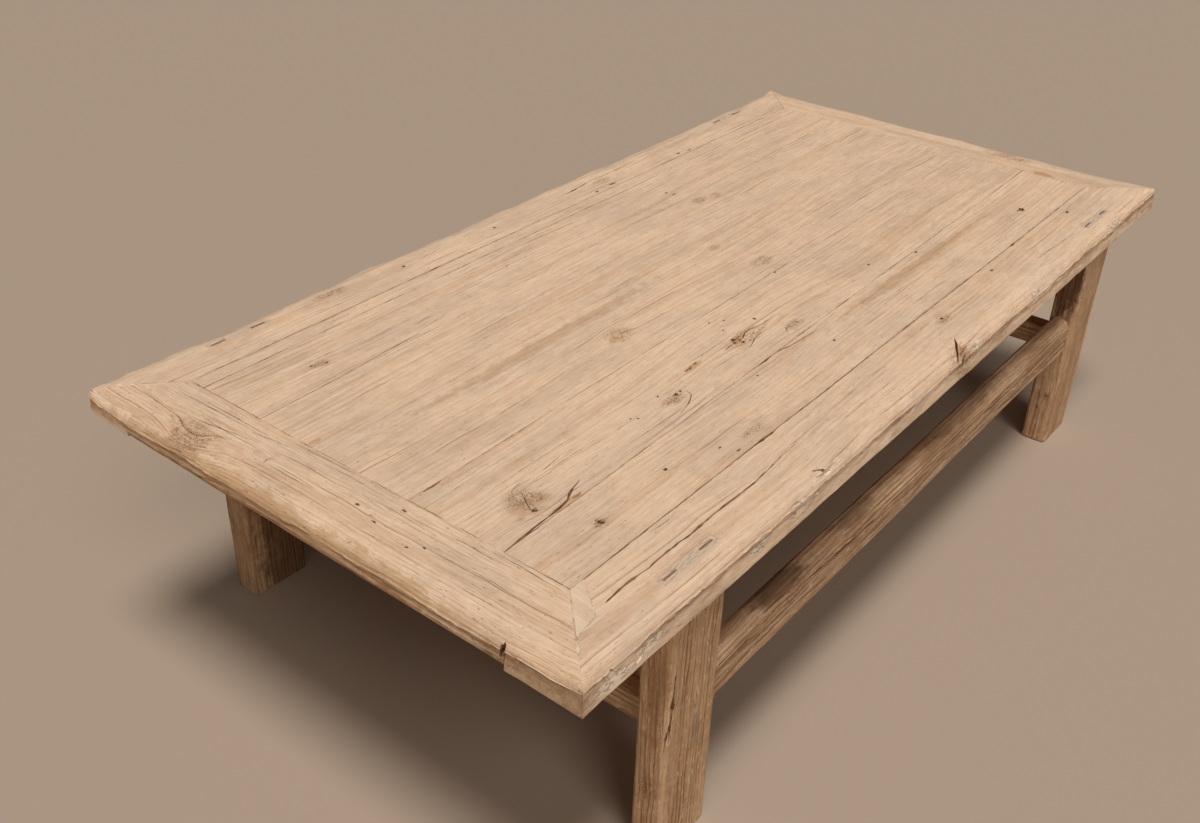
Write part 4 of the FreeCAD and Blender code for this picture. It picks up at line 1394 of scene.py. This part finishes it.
# Stains on the legs, and painted shade on two of them: high on the left face of the front right leg, and
# over the front and left faces of the rear left leg, where the table top shades them
LEG_STAINS_AND_SHADE = {
    "front_left_leg": stain_and_shade_marks([
        ((187, -609, -411), (36, 9, 20), (0.47, 0.35, 0.245, 1), 0.7),
        ((300, -669, -390), (120, 10, 20), (0.36, 0.19, 0.085, 1), 0.5)]),
    # Painted shade: a dark band high on the left face, under the table top
    "front_right_leg": stain_and_shade_marks([((370, 565, -385), (130, 12, 34), (0.16, 0.08, 0.038, 1), 0.95)]),
    # Painted shade: the front face darkened most, the left face less
    "rear_left_leg": stain_and_shade_marks([
        ((220, -600, 361), (600, 55, 30), (0.20, 0.11, 0.055, 1), 0.85),
        ((220, -669, 390), (600, 20, 60), (0.40, 0.235, 0.13, 1), 0.5)]),
}
TENON_END = ("tenon_end_wood", (0.66, 0.485, 0.345, 1), (0.48, 0.34, 0.23, 1), 0.012, 6)
TENON_END_WOOD = plain_wood(*TENON_END)


def below_rail(point):
    """Whether a point of a leg lies below the rail, as a share."""
    return float(point.z < rail_underside - MERGE)


def leg(node, seed):
    """One leg with its tenon drawn up from its head, worn along its grain."""
    low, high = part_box(node)
    middle = (low.y + high.y) / 2
    slab = sawn_block(node + "_worn", low, (high.x, high.y, rail_underside))
    round_edges(slab, LEG_CORNER_RADIUS, LEG_CORNER_STEPS, lambda start, end: not near(start.z, end.z))
    round_edges(slab, FOOT_ARRIS_RADIUS, FOOT_ARRIS_STEPS,
                lambda start, end: near(start.z, low.z) and near(end.z, low.z))
    half = LEG_TENON_THICKNESS / 2
    edit(slab)
    for place in (middle - half, middle + half):
        slit((0, place, 0), (0, 1, 0))
    put_down()
    choose(slab, "polygons",
           lambda face: near(face.center.z, rail_underside) and abs(face.center.y - middle) < half)
    rise = high.z - TENON_SINK - rail_underside
    bpy.ops.mesh.extrude_region_move(TRANSFORM_OT_translate={"value": (0, 0, rise)})
    put_down()
    score(slab, 0, LEG_SCORE)
    score(slab, 1, LEG_SCORE)
    score(slab, 2, LEG_SCORE_LONG)
    for depth, hollow, step in LEG_WEARS:
        wear(slab, depth, hollow, seed + step, below_rail)
    slab.data.materials.append(elm(
        node + "_elm", 2, (low.x - LEG_PITH_STEP, low.y - LEG_PITH_STEP), seed * LEG_SEED_STEP,
        knots=LEG_KNOTS.get(node, ()), stains=LEG_STAINS_AND_SHADE.get(node, ()), **LEG_GRAIN))
    slab.data.materials.append(TENON_END_WOOD)
    for face in slab.data.polygons:
        face.material_index = int(face.center.z > lip_underside)
    return slab


legs = {node: leg(node, seed) for node, seed in LEG_SEEDS.items()}
FRONT_FACE = Matrix(((1, 0, 0, 0), (0, 0, -1, 0), (0, 1, 0, 0), (0, 0, 0, 1)))
LEFT_FACE = Matrix(((0, 0, 1, 0), (1, 0, 0, 0), (0, 1, 0, 0), (0, 0, 0, 1)))
LEG_WEAR = 0.0015
leg_front = Matrix.Translation((0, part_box("front_left_leg")[0].y + LEG_WEAR, 0)) @ FRONT_FACE
leg_left = Matrix.Translation((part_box("front_left_leg")[0].x + LEG_WEAR, 0, 0)) @ LEFT_FACE
NEAR_LEG_CRACKS = in_metres([
    [(-658, 322, 0.6), (-659, 300, 2.4), (-660, 280, 3.6), (-660.8, 262, 4.2), (-661.5, 245, 3),
     (-662.2, 228, 2.2), (-663, 205, 1.2)],
    [(-640, 380, 0.4), (-641, 330, 1.2), (-640, 270, 0.4)],
    [(-612, 300, 0.4), (-611, 220, 1.1), (-613, 130, 0.4)],
    [(-590, 390, 0.4), (-589, 300, 1), (-590, 200, 0.4)],
    [(-628, 200, 0.4), (-627, 120, 1.2), (-629, 30, 0.4)],
])
NEAR_LEG_LEFT_CRACKS = in_metres([
    [(-408.5, 240, 1), (-407, 225, 2.2), (-405.5, 205, 2), (-404, 185, 0.6)],
    [(-396, 170, 0.4), (-393.5, 160, 1.2), (-395, 146, 0.4)],
])
LEG_CRACK_DEPTH_SHARE = 4.0
LEG_LEFT_DEPTH_SHARE = 5.0
# The nicks down the near arris, each at a height and so long
NICK_PLACE = (-0.6615, -0.4085)
NICK_SIZE = (0.007, 0.007)
NICKS = ((0.256, 0.010), (0.238, 0.014), (0.221, 0.009), (0.205, 0.016))
LEG_PIT_SIZE = (0.012, 0.012, 0.022)
LEG_PITS = ((-0.365, 0.104), (-0.393, 0.098), (-0.382, 0.070))
near_leg, right_leg = legs["front_left_leg"], legs["front_right_leg"]
cut_out([near_leg], cracks(NEAR_LEG_CRACKS, LEG_CRACK_DEPTH_SHARE, CRACK_WALL, leg_front))
cut_out([near_leg], [gouge((*NICK_PLACE, height), (*NICK_SIZE, length), height, TORN_WOOD)
                     for height, length in NICKS])
cut_out([near_leg], cracks(NEAR_LEG_LEFT_CRACKS, LEG_LEFT_DEPTH_SHARE, CRACK_WALL, leg_left))
pit_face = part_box("front_right_leg")[0].x + LEG_WEAR
cut_out([right_leg], [gouge((pit_face, across, height), LEG_PIT_SIZE, height, PIT_WALL)
                      for across, height in LEG_PITS])
for node, piece in legs.items():
    finish_piece(piece, node)

# The wedges in the tenons
# Two thin wedges of a redder wood in each leg tenon, driven in from above to spread it.
WEDGE_WOOD = ("wedge_wood", (0.36, 0.17, 0.09, 1), (0.20, 0.10, 0.055, 1), 0.012, 7)
paint("tenon_wedges", plain_wood(*WEDGE_WOOD))

# The long stretchers
# One between the legs on each long side, flat outside below and rounded above, with deep open
# grain along its shoulder. They are tenoned blind into the legs.
STRETCHER_ROUND_RADIUS = 0.022
STRETCHER_ROUND_STEPS = 8
STRETCHER_INNER_RADIUS = 0.012
STRETCHER_LOW_RADIUS = 0.004
STRETCHER_LOW_STEPS = 2
STRETCHER_SCORE_LONG = 0.010
STRETCHER_SCORE = 0.0018
STRETCHER_GRAIN = {
    "sanded": (0.40, 0.235, 0.13, 1),
    "skin": (0.69, 0.465, 0.29, 1),
    "skin_dark": (0.48, 0.29, 0.155, 1),
    "ring_gap": 0.0060,
    "ring_share": 1.4,
    "line_power": 2.4,
    "grain_share": 1.9,
}
STRETCHER_DARK = (0.13, 0.066, 0.032, 1)
STRETCHER_WEAR = 0.0030
STRETCHER_PITH = (0.11, 0.045)
STRETCHER_SEED_STEP = 5
# Each wear of a stretcher: how deep, how long and how wide its hollows, its step from the seed
STRETCHER_WEARS = [
    (0.0020, 0.40, 0.04, 0),
    (0.0034, 0.25, 0.005, 3),
]
# The knots and the dark stains of a long stretcher, by where they lie along it, out and up
STRETCHER_KNOTS = in_metres([
    (-378, 245, (30, 20, 14), 16),
    (-215, 240, (24, 20, 10), 14),
    (240, 236, (30, 20, 10), 12),
])
STRETCHER_STAINS = [
    ((-400, 390, 262), (70, 30, 12), 0.8),
    ((-200, 390, 262), (60, 30, 10), 0.5),
    ((150, 385, 262), (160, 30, 8), 0.4),
]
# Which side each long stretcher is on, and its seed
LONG_STRETCHERS = {"front_stretcher": (-1, 3.3), "rear_stretcher": (1, 6.1)}
leg_inner_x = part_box("front_right_leg")[0].x


def furrow(bar, node, along, pith, seed, knots=(), stains=()):
    """Wears furrows along the grain of a stretcher and gives it its wood."""
    score(bar, 2, STRETCHER_SCORE)
    score(bar, 1 - along, STRETCHER_SCORE)
    score(bar, along, STRETCHER_SCORE_LONG)
    for depth, length, width, step in STRETCHER_WEARS:
        hollow = [width] * 3
        hollow[along] = length
        wear(bar, depth, hollow, seed + step)
    bar.data.materials.append(elm(node + "_elm", along, pith, seed * STRETCHER_SEED_STEP, knots, stains,
                                  **STRETCHER_GRAIN))


def long_stretcher(node, side, seed):
    """A long stretcher, rounded above on its outer side and furrowed along its grain."""
    low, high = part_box(node)
    reach = leg_inner_x + SEAM
    bar = sawn_block(node + "_worn", (-reach, low.y, low.z), (reach, high.y, high.z))
    outer_y, inner_y = (low.y, high.y) if side < 0 else (high.y, low.y)

    def along_at(y, z):
        """A rule that chooses the edge along the bar at one place."""
        return lambda start, end: all(near(point.y, y) and near(point.z, z) for point in (start, end))

    round_edges(bar, STRETCHER_ROUND_RADIUS, STRETCHER_ROUND_STEPS, along_at(outer_y, high.z))
    round_edges(bar, STRETCHER_INNER_RADIUS, CORNER_STEPS, along_at(inner_y, high.z))
    round_edges(bar, STRETCHER_LOW_RADIUS, STRETCHER_LOW_STEPS, along_at(outer_y, low.z))
    round_edges(bar, STRETCHER_LOW_RADIUS, STRETCHER_LOW_STEPS, along_at(inner_y, low.z))
    knots = [((x, outer_y, z), reach, push) for x, z, reach, push in STRETCHER_KNOTS]
    stains = stain_and_shade_marks([((x, side * y, z), reach, STRETCHER_DARK, share)
                          for (x, y, z), reach, share in STRETCHER_STAINS])
    pith = (outer_y + side * STRETCHER_PITH[0], low.z - STRETCHER_PITH[1])
    furrow(bar, node, 0, pith, seed, knots, stains)
    return bar


long_stretchers = {node: long_stretcher(node, side, seed) for node, (side, seed) in LONG_STRETCHERS.items()}
front_stretcher = long_stretchers["front_stretcher"]
stretcher_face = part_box("front_stretcher")[0].y
stretcher_front = Matrix.Translation((0, stretcher_face + STRETCHER_WEAR, 0)) @ FRONT_FACE
STRETCHER_GROOVES = in_metres([
    [(-563, 239, 1), (-500, 241, 1.8), (-440, 243.2, 1.6), (-385, 245, 0.6)],
    [(-563, 234.5, 0.8), (-490, 236.5, 1.4), (-430, 238.8, 1), (-392, 240, 0.4)],
    [(-372, 245, 1), (-330, 243.5, 2.2), (-250, 241.5, 1.6), (-190, 240, 1.2), (-90, 239, 1.8),
     (20, 240, 0.8), (150, 241, 1.2), (330, 240.5, 0.6)],
    [(-366, 239.5, 0.6), (-300, 238.5, 1.8), (-215, 236.5, 2.2), (-120, 234.5, 1), (0, 235, 0.6)],
    [(-340, 250, 0.4), (-260, 248, 1.2), (-150, 247, 0.8), (60, 246.5, 1.2), (200, 247, 0.4)],
    [(100, 235, 0.4), (260, 235, 1.4), (400, 236, 0.4)],
])
KNOT_SPLITS = in_metres([
    [(-405, 259, 0.4), (-388, 252, 2), (-374, 249, 0.6)],
    [(-240, 233, 0.4), (-218, 230, 2.2), (-200, 229, 0.4)],
])
GROOVE_DEPTH_SHARE = 5.0
STRETCHER_PIT = (-0.514, stretcher_face + STRETCHER_WEAR / 2, 0.2195)
STRETCHER_PIT_SIZE = (0.010, 0.012, 0.006)
STRETCHER_PIT_SEED = 2.4
for grooves in (STRETCHER_GROOVES, KNOT_SPLITS):
    cut_out([front_stretcher], cracks(grooves, GROOVE_DEPTH_SHARE, CRACK_WALL, stretcher_front))
cut_out([front_stretcher], [gouge(STRETCHER_PIT, STRETCHER_PIT_SIZE, STRETCHER_PIT_SEED, PIT_WALL)])
for node, piece in long_stretchers.items():
    finish_piece(piece, node)

# The end stretchers
# A squarer bar between the two legs of each end, lower than the long ones, with blind tenons.
END_ARRIS_RADIUS = 0.007
END_STRETCHER_PITH = (0.10, 0.08)
END_STRETCHER_SEEDS = {"left_stretcher": 4.4, "right_stretcher": 8.8}
leg_inner_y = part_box("rear_left_leg")[0].y


def end_stretcher(node, seed):
    """An end stretcher with rounded arrises, furrowed along its grain."""
    low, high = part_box(node)
    reach = leg_inner_y + SEAM
    bar = sawn_block(node + "_worn", (low.x, -reach, low.z), (high.x, reach, high.z))
    round_edges(bar, END_ARRIS_RADIUS, CORNER_STEPS, lambda start, end: not near(start.y, end.y))
    furrow(bar, node, 1, (low.x - END_STRETCHER_PITH[0], low.z - END_STRETCHER_PITH[1]), seed)
    return bar


for node, seed in END_STRETCHER_SEEDS.items():
    finish_piece(end_stretcher(node, seed), node)

# The studio
# A plain pale floor, a high soft lamp that casts the shadow, two lower lamps from the front and
# from the left, a faint even sky and the camera.
FLOOR_SIZE = 24.0
FLOOR_COLOUR = (0.40, 0.298, 0.216, 1)
FLOOR_ROUGHNESS_SHARE = 0.8
SKY_STRENGTH = 0.03
LAMPS = {
    "high_lamp": ((-0.14, -0.175, 1.0), 18, 2.40),
    "front_lamp": ((-0.42, -0.80, 0.85), 26, 0.80),
    "left_lamp": ((-0.85, -0.35, 0.25), 30, 0.28),
}
CAMERA_PLACE = (-1.5292, -0.9604, 1.2995)
CAMERA_TURN = math.radians(-52.436)
CAMERA_DROP = math.radians(90 - 32.229)
CAMERA_ROLL = math.radians(1.8)
FOCAL_LENGTH = 37.74

bpy.ops.object.select_all(action="DESELECT")
bpy.ops.mesh.primitive_plane_add(size=FLOOR_SIZE)
floor = bpy.context.object
floor.name = "floor"
floor_finish = bpy.data.materials.new("floor_finish")
floor_finish.use_nodes = True
floor_shader = floor_finish.node_tree.nodes["Principled BSDF"]
floor_shader.inputs["Base Color"].default_value = FLOOR_COLOUR
floor_shader.inputs["Roughness"].default_value = FLOOR_ROUGHNESS_SHARE
floor.data.materials.append(floor_finish)

for name, (direction, spread, power) in LAMPS.items():
    lamp_data = bpy.data.lights.new(name, "SUN")
    lamp_data.angle = math.radians(spread)
    lamp_data.energy = power
    lamp = bpy.data.objects.new(name, lamp_data)
    lamp.rotation_euler = Vector(direction).to_track_quat("Z", "Y").to_euler()
    bpy.context.scene.collection.objects.link(lamp)

sky = bpy.data.worlds.new("sky")
sky.use_nodes = True
sky.node_tree.nodes["Background"].inputs["Color"].default_value = (1, 1, 1, 1)
sky.node_tree.nodes["Background"].inputs["Strength"].default_value = SKY_STRENGTH
bpy.context.scene.world = sky

camera_data = bpy.data.cameras.new("camera")
camera_data.lens = FOCAL_LENGTH
camera_data.sensor_fit = "HORIZONTAL"
camera = bpy.data.objects.new("camera", camera_data)
bpy.context.scene.collection.objects.link(camera)
turn = (Matrix.Rotation(CAMERA_TURN, 4, "Z") @ Matrix.Rotation(CAMERA_DROP, 4, "X")
        @ Matrix.Rotation(CAMERA_ROLL, 4, "Z"))
camera.matrix_world = Matrix.Translation(CAMERA_PLACE) @ turn
bpy.context.scene.camera = camera
bpy.context.scene.view_settings.view_transform = "Standard"
